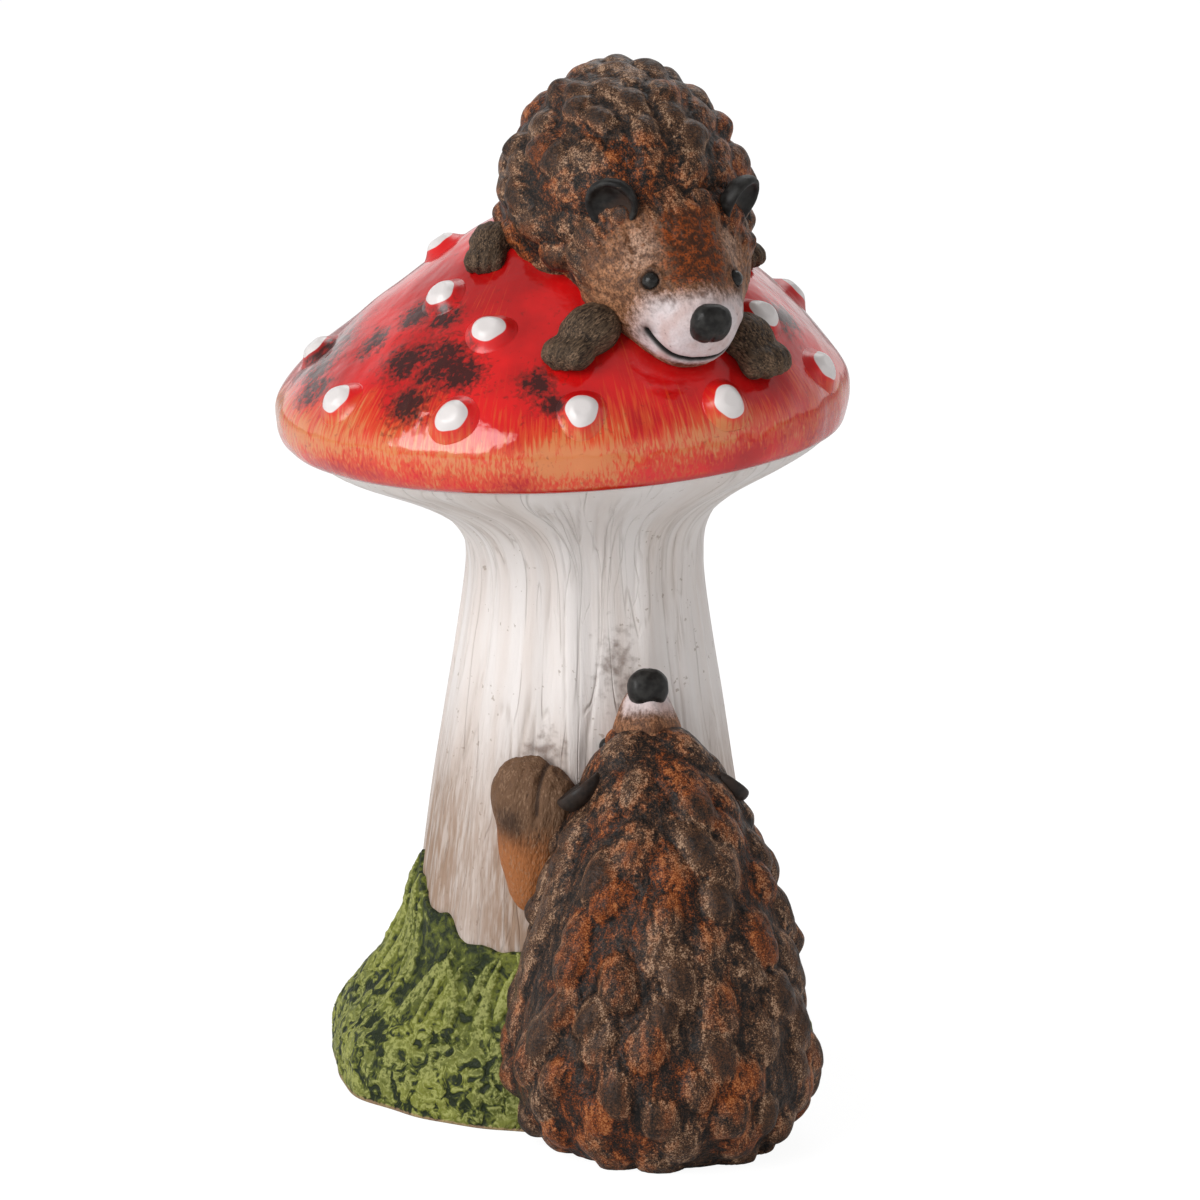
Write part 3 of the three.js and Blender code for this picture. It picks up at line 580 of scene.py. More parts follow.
def specks(p, source):
    """Mask of fine irregular specks: two noises must both be high. Coverage from 0 to 1."""
    fine = p.noise(source["Vector"], source["Scale"], 2.0)
    coarse = p.noise(source["Vector"], p.times(source["Scale"], 0.23), 2.0)
    low = p.plus(0.32, (source["Coverage"], -0.5))
    return p.span(p.plus(fine, (coarse, 0.6)), low, p.plus(low, 0.07))


def dry_brush(p, source):
    """Mask of paint that a dry brush leaves on high relief, broken by the grain of the clay."""
    level = p.plus(source["Relief"], (p.noise(source["Vector"], source["Scale"], 4.0, 0.4), 1.1))
    return p.span(level, source["Low"], p.plus(source["Low"], 0.14))


def creases(p, source):
    """Mask of thin wandering lines: where a noise changes sign."""
    away = p.math("ABSOLUTE", p.noise(source["Vector"], source["Scale"], 1.5, 0.2), 0.0)
    return p.span(away, 0.0, source["Width"], 1.0, 0.0)


def clay_grain(p, source):
    """Height of a fired, brushed surface: fine grain and wider lumps."""
    fine = p.noise(source["Vector"], source["Scale"], 4.0)
    return p.plus((fine, 0.5), p.noise(source["Vector"], p.times(source["Scale"], 0.2), 2.0))


# Each paint gives a colour, a roughness and a height from its palette and the colours

def stalk_paint(p, c):
    """Off-white slip with a thin brown wash in the creases, streaks at the foot, and smudges where the
    climber touches it."""
    place, grain, foot = p.place(), p.field("grain", "Vector"), p.field("foot")
    streak = p.noise(grain, 0.9, 4.0)
    colour = p.over(c.slip, c.slip_warm, p.noise(grain, 0.13), -0.15, 0.2)
    colour = p.mix(p.times(foot, p.span(streak, -0.2, 0.12, 0.6, 1.0)), colour, c.wash)
    long = p.group(creases, "Mask", Vector=grain, Scale=0.1, Width=0.014)
    tight = p.group(creases, "Mask", Vector=grain, Scale=0.23, Width=0.02)
    tight = p.times(tight, p.most(p.field("bell"), p.times(foot, 0.8)))
    lines = p.most(p.times(long, 0.8), tight)
    lines = p.times(lines, p.span(p.noise(grain, 0.31, 2.0), -0.14, 0.1))
    carved = p.times(p.field("crease"), p.span(streak, -0.14, 0.1), 0.3)
    worn = p.times(foot, p.span(p.noise(grain, 2.2, 4.0), 0.02, 0.18), 0.55)
    dots = p.times(p.group(specks, "Mask", Vector=place, Scale=640.0, Coverage=0.2), 0.5)
    for mask in (p.most(carved, p.times(lines, 0.28)), worn, dots):
        colour = p.mix(mask, colour, c.wash_dark)
    dust = p.plus(p.field("smudge"), (p.noise(place, 420.0, 5.0), 1.6))
    colour = p.over(colour, c.cheek_dark, dust, 0.35, 1.1, 0.7)
    height = p.plus((streak, 0.5), (lines, -1.3), (p.clay(500.0), 0.5))
    return colour, p.span(streak, -0.2, 0.2, 0.4, 0.55), height


def glaze_paint(p, c, top):
    """Glossy red glaze over ochre brush strokes that thin out above the rim, with black sponge marks. The
    tops of the spots are white."""
    place, grain = p.place(), p.field("grain", "Vector")
    colour = p.over(c.glaze, c.glaze_deep, p.noise(place, 42.0), -0.15, 0.18)
    patch, stroke = p.noise(place, 48.0, 2.0), p.noise(grain, 1.5, 5.0, 0.5)
    level = p.plus(p.field("rim"), (patch, 1.8), (stroke, 2.0))
    colour = p.over(colour, c.amber, level, 0.3, 0.75, 0.7)
    colour = p.over(colour, c.ochre, level, 0.7, 1.2, 0.75)
    mottle, sponge = p.noise(place, 170.0, 3.0, 0.8), p.noise(place, 700.0, 5.0, 0.5)
    mark = p.plus(p.field("blotch"), (mottle, 0.9), (sponge, 1.7))
    colour = p.over(colour, c.umber, mark, 0.2, 0.6, 0.6)
    colour = p.over(colour, c.sponge, mark, 0.5, 0.9, 0.88)
    colour = p.mix(p.field("lip"), colour, c.glaze_deep)
    if top:
        colour = p.over(colour, c.glaze, p.field("white"), 0.1, 0.5, 0.5)
        colour = p.over(colour, c.spot, p.field("white"), 0.47, 0.55)
    height = p.plus(p.noise(place, 70.0, 2.0), (p.noise(place, 200.0, 2.0), 0.3))
    return colour, 0.28 if top else 0.12, height


def grass_paint(p, c):
    """Olive slopes with dark pits that are partly painted shade, and thin pale crests that wind between them,
    streaky on the blades.
    """
    place = p.place()
    wave, fine = p.noise(place, 240.0, 3.0, 1.2), p.noise(place, 900.0, 4.0)
    colour = p.over(c.grass, c.grass_light, p.noise(place, 60.0), -0.15, 0.15)
    deep = p.span(p.field("upper"), 0.2, 0.9, 2.4, 0.9)
    level = p.plus((p.field("relief"), 0.5), (wave, deep), (fine, 0.4))
    crest = p.times(p.span(level, 0.22, 0.34), p.span(level, 0.4, 0.62, 1.0, 0.25), p.span(fine, -0.14, 0.06))
    colour = p.mix(p.times(crest, 0.6), colour, c.grass_crest)
    # Dark green in the pits: partly painted shade, deepest where the sculpted relief is lowest.
    colour = p.mix(p.span(level, -0.02, 0.24, 1.0, 0.0), colour, c.grass_dark)
    colour = p.over(colour, c.pale, p.plus(p.field("edge"), (fine, 0.8)), 0.6, 0.9, 0.7)
    return colour, p.span(fine, -0.2, 0.2, 0.45, 0.7), p.plus((wave, 2.0), (fine, 0.5))


def spine_colour(p, c):
    """Brown and rust in patches, from dark slopes to tan edges, smooth and dark on the tops of most spines,
    with streaks along the body, a sandy grain, and painted shade that darkens the grooves between them."""
    place, tone = p.place(), p.field("tone")
    streak = p.noise(p.field("grain", "Vector"), 0.5, 5.0, 0.4)
    uneven = p.plus((streak, 0.8), (p.noise(place, 1150.0, 4.0, 0.2), 0.6))
    form = p.plus(p.field("relief"), (uneven, 0.7))
    edge = p.times(p.span(form, 0.25, 0.45), p.span(form, 0.5, 0.75, 1.0, 0.0))
    top = p.times(p.span(form, 0.5, 0.95), p.span(tone, 0.1, 0.8))
    sand = p.plus(uneven, p.noise(place, 2800.0, 2.0))
    level = p.plus((sand, p.span(top, 0.0, 1.0, 1.5, 0.9)), (edge, 0.1), (top, -0.13))
    # Painted shade: darker where the spines meet in grooves.
    level = p.plus(level, p.span(form, 0.0, 0.4, -0.2, 0.0))
    patch = p.plus(p.noise(place, 40.0, 3.0, 0.3), (tone, -0.2), (streak, 0.5))
    ramps = []
    for dark, middle, light in (
        (c.coat_dark, c.coat_brown, c.pale),
        (c.rust_dark, c.rust, c.rust_light),
    ):
        ramp = p.over(c.black, dark, level, -0.42, -0.16)
        ramp = p.over(ramp, middle, level, -0.18, 0.1)
        ramps.append(p.over(ramp, light, level, 0.1, 0.42))
    return p.mix(p.times(p.span(patch, -0.15, 0.13), p.span(top, 0.2, 0.8, 0.95, 0.55)), *ramps)


def coat_paint(p, c):
    """The spines' colours, satin, with a fine clay grain."""
    height = p.plus(p.clay(1100.0), p.noise(p.place(), 480.0))
    return spine_colour(p, c), p.span(p.noise(p.place(), 400.0), -0.2, 0.2, 0.34, 0.6), height


def face_paint(p, c):
    """Pinkish white muzzle that fades into tan cheeks, a dark rust brow, pale patches beside the eyes that
    are partly a painted highlight, spine colours at the back, and dark eye rims and mouth, all under a fine
    grain."""
    place, brow, muzzle = p.place(), p.field("brow"), p.field("muzzle")
    fur = p.noise(p.field("grain", "Vector"), 1.1, 4.0)
    fine, wide, sand = p.noise(place, 600.0, 5.0), p.noise(place, 150.0), p.noise(place, 1900.0, 2.0)
    tan = p.plus((fur, 0.8), fine, (wide, 0.8))
    colour = p.over(c.cheek_dark, c.cheek, tan, -0.25, 0.25)
    # Pale patches beside the eyes: a light-brown tint that is partly a painted highlight on the brows.
    colour = p.over(colour, c.temple, p.plus(p.field("temple"), (tan, 1.1)), 0.3, 0.9, 0.75)
    rust = p.over(c.rust_dark, c.rust, fine, -0.1, 0.12)
    colour = p.over(colour, rust, p.plus(brow, (tan, 0.9)), 0.2, 0.7)
    pink = p.over(c.muzzle, c.pink, wide, -0.12, 0.2)
    colour = p.over(colour, pink, p.plus(muzzle, (tan, 0.6)), 0.15, 0.95)
    colour = p.mix(p.times(p.field("shade"), 0.8), colour, c.coat_dark)
    spare = p.span(muzzle, 0.15, 0.75, 1.0, 0.1)
    colour = p.mix(spare, colour, p.mix(1.0, colour, p.span(sand, -0.2, 0.2, 0.62, 1.4), "MULTIPLY"))
    dots = p.times(p.span(sand, -0.16, -0.04, 1.0, 0.0), p.span(brow, 0.2, 0.7, 0.25, 0.9))
    colour = p.mix(p.times(dots, spare), colour, c.coat_dark)
    back = p.plus(p.field("coat"), (tan, 0.8), (fine, 0.8))
    colour = p.over(colour, spine_colour(p, c), back, 0.25, 0.8)
    colour = p.mix(p.field("line"), colour, c.black)
    return colour, p.span(fine, -0.2, 0.2, 0.42, 0.62), p.plus((fur, 0.7), p.clay(900.0))


def paw_paint(p, c):
    """Grey-brown fur with dark roots and pale hair tips; the forelegs lighter above and rust below."""
    grain = p.field("grain", "Vector")
    fur = p.noise(grain, 1.7, 4.0, 0.3)
    tuft = p.plus((fur, 0.7), (p.noise(p.place(), 140.0), 0.3))
    colour = p.over(c.paw_dark, c.paw, tuft, -0.14, 0.12)
    colour = p.over(colour, c.arm, p.plus(p.field("light"), (fur, 1.6)), 0.3, 0.9, 0.8)
    colour = p.over(colour, c.rust_light, p.plus(p.field("rust"), (tuft, 0.9)), 0.1, 0.9, 0.85)
    tips = p.group(specks, "Mask", Vector=grain, Scale=2.4, Coverage=0.5)
    colour = p.mix(p.times(tips, 0.35), colour, c.pale)
    colour = p.over(colour, c.coat_dark, p.plus(p.field("shade"), (fur, 0.9)), 0.3, 0.8, 0.85)
    return colour, p.span(fur, -0.2, 0.2, 0.5, 0.7), p.plus(fur, (p.clay(900.0), 0.4))


def black_paint(p, c, gloss):
    """Charcoal paint, worn a little on the edges that stand out, over brown where the field says so."""
    fine = p.noise(p.place(), 500.0, 4.0)
    colour = p.over(c.black, c.charcoal, fine, -0.15, 0.2)
    colour = p.over(colour, c.coat_dark, p.plus(p.field("bare"), (fine, 0.9)), 0.3, 0.8, 0.9)
    worn = p.group(dry_brush, "Mask", Vector=p.place(), Relief=p.field("relief"), Scale=600.0, Low=0.9)
    colour = p.mix(p.times(worn, 0.4), colour, c.pale)
    return colour, p.span(fine, -0.2, 0.2, gloss, gloss + 0.15), p.clay(800.0)


# Finishes: paint and its options, material slot, specular level, clear coat, strength and depth of bump
FINISHES = {
    "stalk_slip": (stalk_paint, (), "stalk", 0.35, 0.0, 0.5, 0.6),
    "cap_glaze": (glaze_paint, (False,), "glaze", 0.5, 0.3, 0.6, 1.4),
    "spot_glaze": (glaze_paint, (True,), "spot", 0.5, 0.0, 0.6, 1.4),
    "grass_paint": (grass_paint, (), "grass", 0.2, 0.0, 0.7, 1.2),
    "spine_coat": (coat_paint, (), "coat", 0.16, 0.0, 0.7, 0.9),
    "face_paint": (face_paint, (), "face", 0.18, 0.0, 0.5, 0.6),
    "paw_fur": (paw_paint, (), "paw", 0.16, 0.0, 0.7, 0.8),
    "nose_black": (black_paint, (0.32,), "black", 0.25, 0.0, 0.4, 0.4),
    "eye_black": (black_paint, (0.14,), "black", 0.25, 0.0, 0.4, 0.4),
    "ear_black": (black_paint, (0.45,), "black", 0.25, 0.0, 0.4, 0.4),
}
COAT_ROUGHNESS = 0.08


def material(name):
    """The material of a finish, made on first use."""
    if name in bpy.data.materials:
        return bpy.data.materials[name]
    paint, options, _, specular, coat, strength, depth = FINISHES[name]
    made = bpy.data.materials.new(name)
    made.use_nodes = True
    p = Palette(made.node_tree)
    colour, rough, height = paint(p, bpy.context.scene.toadstool_colours, *options)
    relief = p.add("ShaderNodeBump", {"Height": height, "Strength": strength, "Distance": depth * MM})
    p.feed(made.node_tree.nodes["Principled BSDF"], {
        "Base Color": colour, "Roughness": rough, "Normal": relief, "Specular IOR Level": specular,
        "Coat Weight": coat, "Coat Roughness": COAT_ROUGHNESS,
    })
    return made


# Meshes

def flat(values, tube):
    """Values of a grid in one list, with the means of its end rows last, unless it is a tube."""
    listed = values.reshape(-1, *values.shape[2:])
    return listed if tube else np.concatenate([listed, values[:1].mean(1), values[-1:].mean(1)])


def skin(node, grid, fields, finish, name=None, tube=False):
    """Piece over a grid, with one attribute for each field, that stands for a CAD node. The rows of a tube
    close on themselves, and otherwise the two ends close to a point."""
    rows, columns = grid.shape[:2]
    index = np.arange(rows * columns).reshape(rows, columns)
    lower = np.roll(index, -1, 0)
    quads = np.stack([index, lower, np.roll(lower, -1, 1), np.roll(index, -1, 1)], -1)
    quads = (quads if tube else quads[:-1]).reshape(-1, 4)
    fans = np.zeros((0, 3), int)
    if not tube:
        first, last = index[0], index[-1]
        top = np.stack([np.full(columns, index.size), first, np.roll(first, -1)], -1)
        end = np.stack([np.full(columns, index.size + 1), np.roll(last, -1), last], -1)
        fans = np.concatenate([top, end])
    points = np.array(flat(grid, tube))
    points[:, 2] = np.maximum(points[:, 2], 0)
    triangles = np.concatenate([quads[:, :3], quads[:, [0, 2, 3]], fans])
    a, b, c = (points[triangles[:, k]] - points.mean(0) for k in range(3))
    if np.sum(a * np.cross(b, c)) < 0:
        quads, fans = quads[:, ::-1], fans[:, ::-1]
    name = name or f"{node}_surface"
    mesh = bpy.data.meshes.new(name)
    mesh.vertices.add(len(points))
    mesh.vertices.foreach_set("co", (points * MM).ravel())
    corners = np.concatenate([quads.ravel(), fans.ravel()])
    mesh.loops.add(len(corners))
    mesh.loops.foreach_set("vertex_index", corners)
    starts = np.concatenate([4 * np.arange(len(quads)), 4 * len(quads) + 3 * np.arange(len(fans))])
    mesh.polygons.add(len(starts))
    mesh.polygons.foreach_set("loop_start", starts)
    mesh.update(calc_edges=True)
    mesh.validate()
    mesh.shade_smooth()
    for field, values in fields.items():
        values = np.broadcast_to(values, grid.shape[:2] + np.shape(values)[2:])
        kind, key = ("FLOAT_VECTOR", "vector") if values.ndim == 3 else ("FLOAT", "value")
        mesh.attributes.new(field, kind, "POINT").data.foreach_set(key, flat(values, tube).ravel())
    mesh.materials.append(material(finish))
    piece = bpy.data.objects.new(name, mesh)
    bpy.context.scene.collection.objects.link(piece)
    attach(piece, "root")
    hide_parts(node)


# Properties

def linear(code):
    """Linear colour of an sRGB code such as c41a16."""
    c = np.array([int(code[i:i + 2], 16) for i in (0, 2, 4)]) / 255
    return tuple(float(x) for x in np.where(c <= 0.04045, c / 12.92, ((c + 0.055) / 1.055) ** 2.4))


def colour_of(name, words, code):
    """Colour property whose default is an sRGB code."""
    return bpy.props.FloatVectorProperty(
        name=name, description=words, default=linear(code), size=3, subtype="COLOR", min=0.0, max=1.0)


def length_of(name, words, millimetres):
    """Length property whose default is in millimetres."""
    return bpy.props.FloatProperty(
        name=name, description=words, default=millimetres * MM, min=0.0, unit="LENGTH", precision=4)


class ToadstoolSizes(bpy.types.PropertyGroup):
    """Relief that is sculpted over the CAD frame."""
    crease: length_of("Crease depth", "Depth of the creases in the stalk", 0.45)
    worm: length_of("Moss relief", "Height of the winding ridges on the grass mound", 1.2)
    blade: length_of("Blade relief", "Height of the fine blades over the grass mound", 1.3)
    spot: length_of("Spot height", "Height of the raised spots", 3.2)
    knob: length_of("Spine height", "Height of the blunt spines", 3.5)
    fur: length_of("Fur relief", "Height of the hair strokes on heads and paws", 0.45)


class ToadstoolColours(bpy.types.PropertyGroup):
    """Slips, paints and glazes."""
    slip: colour_of("Slip", "Off-white of the stalk", "e2dcd9")
    slip_warm: colour_of("Warm slip", "Warmer patches of the stalk", "d9cfc9")
    wash: colour_of("Wash", "Brown wash at the foot", "977c68")
    wash_dark: colour_of("Dark wash", "Wash that settles in creases", "86715f")
    glaze: colour_of("Glaze", "Red of the cap", "dc1516")
    glaze_deep: colour_of("Deep glaze", "Red where the glaze is thick", "b00e10")
    amber: colour_of("Amber", "Orange of the outer brush strokes", "d44c20")
    ochre: colour_of("Ochre", "Bare brush strokes at the rim", "cf8850")
    umber: colour_of("Umber", "Brown edges of the sponge marks", "6d1a10")
    sponge: colour_of("Sponge", "Black sponge marks", "190b09")
    spot: colour_of("Spot white", "Tops of the spots", "ddd7d5")
    grass: colour_of("Grass", "Olive green of the mound", "545b24")
    grass_light: colour_of("Light grass", "Lighter green of the mound", "74792f")
    # Green in the pits, partly painted shade.
    grass_dark: colour_of("Dark grass", "Green in the pits", "1f2814")
    grass_crest: colour_of("Crest", "Yellow-green on the ridges", "b2b46e")
    coat_brown: colour_of("Coat brown", "Main brown of the coats", "573c2a")
    coat_dark: colour_of("Dark brown", "Shadow brown of the coats", "32251e")
    rust: colour_of("Rust", "Orange patches of the coats", "7c3b17")
    rust_dark: colour_of("Dark rust", "Brow of the faces and slopes of the rust patches", "3e2214")
    rust_light: colour_of("Light rust", "Orange of the foreleg and grains of the rust patches", "ac6a3c")
    pale: colour_of("Dry brush", "Sand grains, worn edges and hair tips", "a6866c")
    muzzle: colour_of("Muzzle", "Pinkish white of the snouts", "d6cacb")
    pink: colour_of("Pink", "Pink of the snouts", "c4aca8")
    # Pale patches beside the eyes, partly a painted highlight on the brows.
    temple: colour_of("Temple", "Light brown beside the eyes", "b0907c")
    cheek: colour_of("Cheek", "Tan of the faces", "97694a")
    cheek_dark: colour_of("Dark cheek", "Darker brown of the faces", "5d3d2a")
    arm: colour_of("Foreleg", "Brown of the foreleg", "72543e")
    paw: colour_of("Paw", "Grey-brown of the paws", "5d4b3b")
    paw_dark: colour_of("Paw roots", "Darker brown of the paws", "241c17")
    # The coats' pits reach this black partly through painted shade.
    black: colour_of("Black", "Noses, eyes, ears and pits of the coats", "131110")
    charcoal: colour_of("Charcoal", "Worn black", "2b2a28")


def chosen(name):
    """One of the toadstool's sizes in millimetres."""
    return getattr(bpy.context.scene.toadstool_sizes, name) / MM


# Pieces

class ToadstoolOperator:
    """Shared by the operators below."""
    bl_options = {"REGISTER", "UNDO"}


class TOADSTOOL_OT_stalk(ToadstoolOperator, bpy.types.Operator):
    """Creased stalk: the CAD shaft and bell, with wandering creases where a stretched noise changes sign"""
    bl_idname = "toadstool.stalk"
    bl_label = "Stalk"

    def execute(self, context):
        turn = turns(STALK_COLUMNS)
        shaft, bell = np.linspace(0, NECK_Z, SHAFT_ROWS), np.linspace(NECK_Z, GILL_Z + 2, BELL_ROWS + 1)
        z = np.concatenate([shaft, bell[1:]])[:, None]
        space = circle(STREAK_R, turn, STREAK_RISE * z)
        crease = np.clip(1 - np.abs(clouds(space, 8.0, 2, 3)) / 0.1, 0, 1) ** 1.3
        crease = crease * ease(0.5 + 1.2 * clouds(space, 14, 2, 8))
        bell = ease((z - NECK_Z + 16) / 30)
        pleat = np.clip(1 - np.abs(noise(space / 5.0, 31)) / 0.2, 0, 1) * bell
        height = 0.45 * clouds(space, 5.0, 2, 21) - chosen("crease") * np.maximum(crease, pleat)
        fade = ease(z / 3.0) * ease((GILL_Z - 1 - z) / 6.0)
        grid = raised(stalk_point(turn, z), height * fade)
        nose = moved((47.0, 0, 0), HEAD_FRAMES["climbing"]) - (6, 0, -4)
        hand = moved((0, 0, 9.0), arm_frame("left")) + (2, 0, 6)
        fields = {
            "grain": space, "bell": bell, "crease": np.maximum(crease, 0.8 * pleat) * fade,
            "foot": ease((116 - z) / 50) * ease(0.8 + 0.5 * clouds(space, 9, 2, 5)),
            "smudge": bump(far((grid - nose) * (1, 1, 0.6)), 9) + 0.9 * near(grid, hand, 8),
        }
        skin("stalk", grid, fields, "stalk_slip")
        return {"FINISHED"}


def fine_blades(turn, share):
    """Height from 0 to 1 of thin bent blades round the mound, each with two tapered ends and a groove."""
    blades = 0.0
    rng = np.random.default_rng(4)
    for i in range(FINE_BLADES):
        at = TAU * (i + rng.uniform(-0.3, 0.3)) / FINE_BLADES
        low, high = rng.uniform(0.35, 0.6), rng.uniform(0.8, 1.05)
        along = np.clip((share - low) / (high - low), 0, 1)
        away = (turn - at - rng.uniform(-0.2, 0.2) * along ** 2 + np.pi) % TAU - np.pi
        half = rng.uniform(0.025, 0.05) * np.sin(np.pi * (0.12 + 0.88 * along)) ** 0.8
        across = np.abs(away) / np.maximum(half, 1e-4)
        blade = np.clip(1 - across ** 2, 0, 1) * (0.75 + 0.25 * np.clip(across * 3, 0, 1))
        blades = np.maximum(blades, blade * ease(along * 8) * ease((1.02 - along) * 12))
    return blades


class TOADSTOOL_OT_grass(ToadstoolOperator, bpy.types.Operator):
    """Grass mound: the CAD bank and blades with finer blades above and winding moss ridges below"""
    bl_idname = "toadstool.grass"
    bl_label = "Grass mound"

    def execute(self, context):
        turn, share = turns(STALK_COLUMNS), np.linspace(0, 1, MOUND_ROWS)[:, None]
        left = np.maximum(0, -np.cos(turn))
        gap = np.abs(np.cos(BLADES * turn / 2 + 0.8 * np.sin(turn)))
        line = MOUND_HEIGHT + TUFT_HEIGHT * left ** 8 + BLADE_HEIGHT * (0.6 - gap)
        line = line + 2.2 * clouds(circle(50, turn, 0), 7, 2, 3)
        lump = 1 + 0.05 * np.sin(5 * turn + 1.2) + 0.04 * np.sin(9 * turn)
        fall = (1 - ease((share - 0.17) / 0.6)) * (1 - 0.1 * (1 - share) ** 6)
        bank = (MOUND_SPREAD + MOUND_LEFT * left ** 3) * lump * fall
        leaf = (0.5 - gap) * ease((share - 0.25) / 0.25) * ease((1 - share) / 0.2)
        out = BLADE_TIP + BLADE_ROOT * (1 - share) ** 0.7 + bank + BLADE_RELIEF * leaf
        base = stalk_point(turn, share * line, SEAT_GAP + out)
        bent = warped(base)
        moss = np.maximum(ridges(bent, 5.0, 5), 0.85 * ridges(bent, 3.0, 9))
        moss = 0.65 * moss + 0.35 * (0.5 + 0.5 * clouds(base, 4.0, 3, 12))
        blades = fine_blades(turn, share)
        upper = ease((share - 0.42 - 0.12 * clouds(base, 16, 2, 6)) / 0.2)
        height = chosen("worm") * (moss - 0.5) * (1 - upper)
        height = height + chosen("blade") * (blades - 0.4 + 0.3 * moss) * upper
        grid = raised(base, height * ease(share * 25) * ease((1 - share) * 12))
        inner = np.stack([stalk_point(turn, z, -MOUND_SINK) for z in (line, 0 * line)])
        fields = {
            "relief": moss * (1 - upper) + np.maximum(blades, 0.35 * moss) * upper,
            "edge": 1 - ease(share / 0.05) + 0 * turn, "upper": upper,
        }
        none = np.zeros(inner.shape[:2])
        fields = {key: np.concatenate([values, none]) for key, values in fields.items()}
        grid = np.concatenate([grid, inner])
        skin("grass_mound", grid, fields, "grass_paint", "grass_surface", tube=True)
        return {"FINISHED"}


def cap_fields(turn, t, place):
    """Paint fields of the cap at a turn and t: streak space, rim band, sponge marks and the red lip."""
    rim = ease((t - 0.64) / 0.36) * (1.1 - 0.55 * ease((t - 1.1) / 0.45))
    blotch = 0.0
    for degrees, share, size in BLOTCHES:
        blotch = np.maximum(blotch, near(place, cap_point(np.radians(degrees), dome_t(share)), size))
    return {
        "grain": circle(0.9 * CAP_R, turn, 5.0 * t), "rim": rim * (1 - 0.35 * ease(np.cos(turn))),
        "blotch": blotch, "lip": 0.9 * ease((t - 1.62) / 0.16),
    }


def cap_swell(place, t):
    """Unevenness of the thrown dome, in the frame of the cap, that dies away at the top and at the lip."""
    return 1.3 * clouds(place, 22, 2, 2) * ease(t * 4) * ease((1.9 - t) / 0.4)


class TOADSTOOL_OT_cap(ToadstoolOperator, bpy.types.Operator):
    """Glazed cap: the CAD dome and rolled lip, smoothed and a little uneven, closed under the lip"""
    bl_idname = "toadstool.cap"
    bl_label = "Cap"

    def execute(self, context):
        rows, columns = CAP_GRID
        turn, t = turns(columns), even(partial(cap_point, 0.0), 0.01, 2, rows)[0][:, None]
        base = cap_point(turn, t)
        dome = base[:-LIP_ROWS]
        for _ in range(CAP_PASSES):
            dome[1:-1] += (dome[:-2] + dome[2:] - 2 * dome[1:-1]) / 4
        grid = raised(base, cap_swell(base, t))
        skin("cap", moved(grid, CAP), cap_fields(turn, t, base), "cap_glaze")
        return {"FINISHED"}


class TOADSTOOL_OT_spots(ToadstoolOperator, bpy.types.Operator):
    """Raised spots: soft mounds that flow into the dome, laid out along its meridians"""
    bl_idname = "toadstool.spots"
    bl_label = "Spots"

    def execute(self, context):
        rows, columns = SPOT_GRID
        turn, rho = turns(columns), np.linspace(0.03, 1.6, rows)[:, None]
        mound = 1.06 * chosen("spot") * (1 - ease((rho - 0.4) / 1.15)) - 0.5 * ease((rho - 1.4) / 0.2)
        line = np.linspace(0.02, 1.98, 600)
        step = 0.004
        for i, (degrees, share) in enumerate(SPOTS):
            middle = np.radians(degrees)
            way = ways(cap_point(middle, line))
            r = rho * SPOT_R * (1 + 0.05 * np.sin(2 * turn + i) + 0.04 * np.sin(3 * turn + 2.3 * i))
            t = np.interp(np.interp(dome_t(share), line, way) + r * np.sin(turn), way, line)
            place = middle + r * np.cos(turn) / far(cap_point(middle, t)[..., :2])
            base = cap_point(place, t)
            down = cap_point(place, t + step) - cap_point(place, t - step)
            across = cap_point(place + step, t) - cap_point(place - step, t)
            grid = base + unit(np.cross(down, across)) * (mound + cap_swell(base, t))[..., None]
            fields = cap_fields(place, t, base)
            fields["white"] = 0.5 + 1.6 * (0.92 - rho) + 0.03 * np.sin(5 * turn + i)
            skin(f"cap_spot_{i + 1:02d}", moved(grid, CAP), fields, "spot_glaze")
        return {"FINISHED"}


class TOADSTOOL_OT_coats(ToadstoolOperator, bpy.types.Operator):
    """Spine coats: the CAD bodies under fine, staggered rows of blunt spines that lie low round the ears"""
    bl_idname = "toadstool.coats"
    bl_label = "Spine coats"

    def execute(self, context):
        for name, (point, place, squeeze, spacing, start, end, share, lift) in COATS.items():
            base, height, tone = knobs(point, COAT_GRID, spacing, start, end)
            to_body = np.linalg.inv(place) @ HEAD_FRAMES[name]
            for ear in on_head(name, *HEADS[name]["ear"]).values():
                close = near(base, moved(ear, to_body), EAR_CLEARING)
                height = height * (1 - 0.8 * close) - 0.1 * close
            uneven = 0.25 * clouds(base, 2.8, 2, 7) + 0.6 * clouds(base, 13.0, 2, 12)
            grid = raised(base, lift + share * chosen("knob") * height + uneven)
            fields = {"relief": height, "tone": tone, "grain": base * squeeze}
            skin(f"{name}_coat", moved(grid, place), fields, "spine_coat")
        return {"FINISHED"}


def mouth_distance(points):
    """Distance to the mouth line, which is the same on both sides."""
    points = points * (1, 0, 1) - np.abs(points) * (0, 1, 0)
    best = np.full(points.shape[:2], 1e9)
    for a, b in zip(MOUTH[:-1], MOUTH[1:]):
        share = np.clip((points - a) @ (b - a) / ((b - a) @ (b - a)), 0, 1)
        best = np.minimum(best, far(points, a + share[..., None] * (b - a)))
    return best


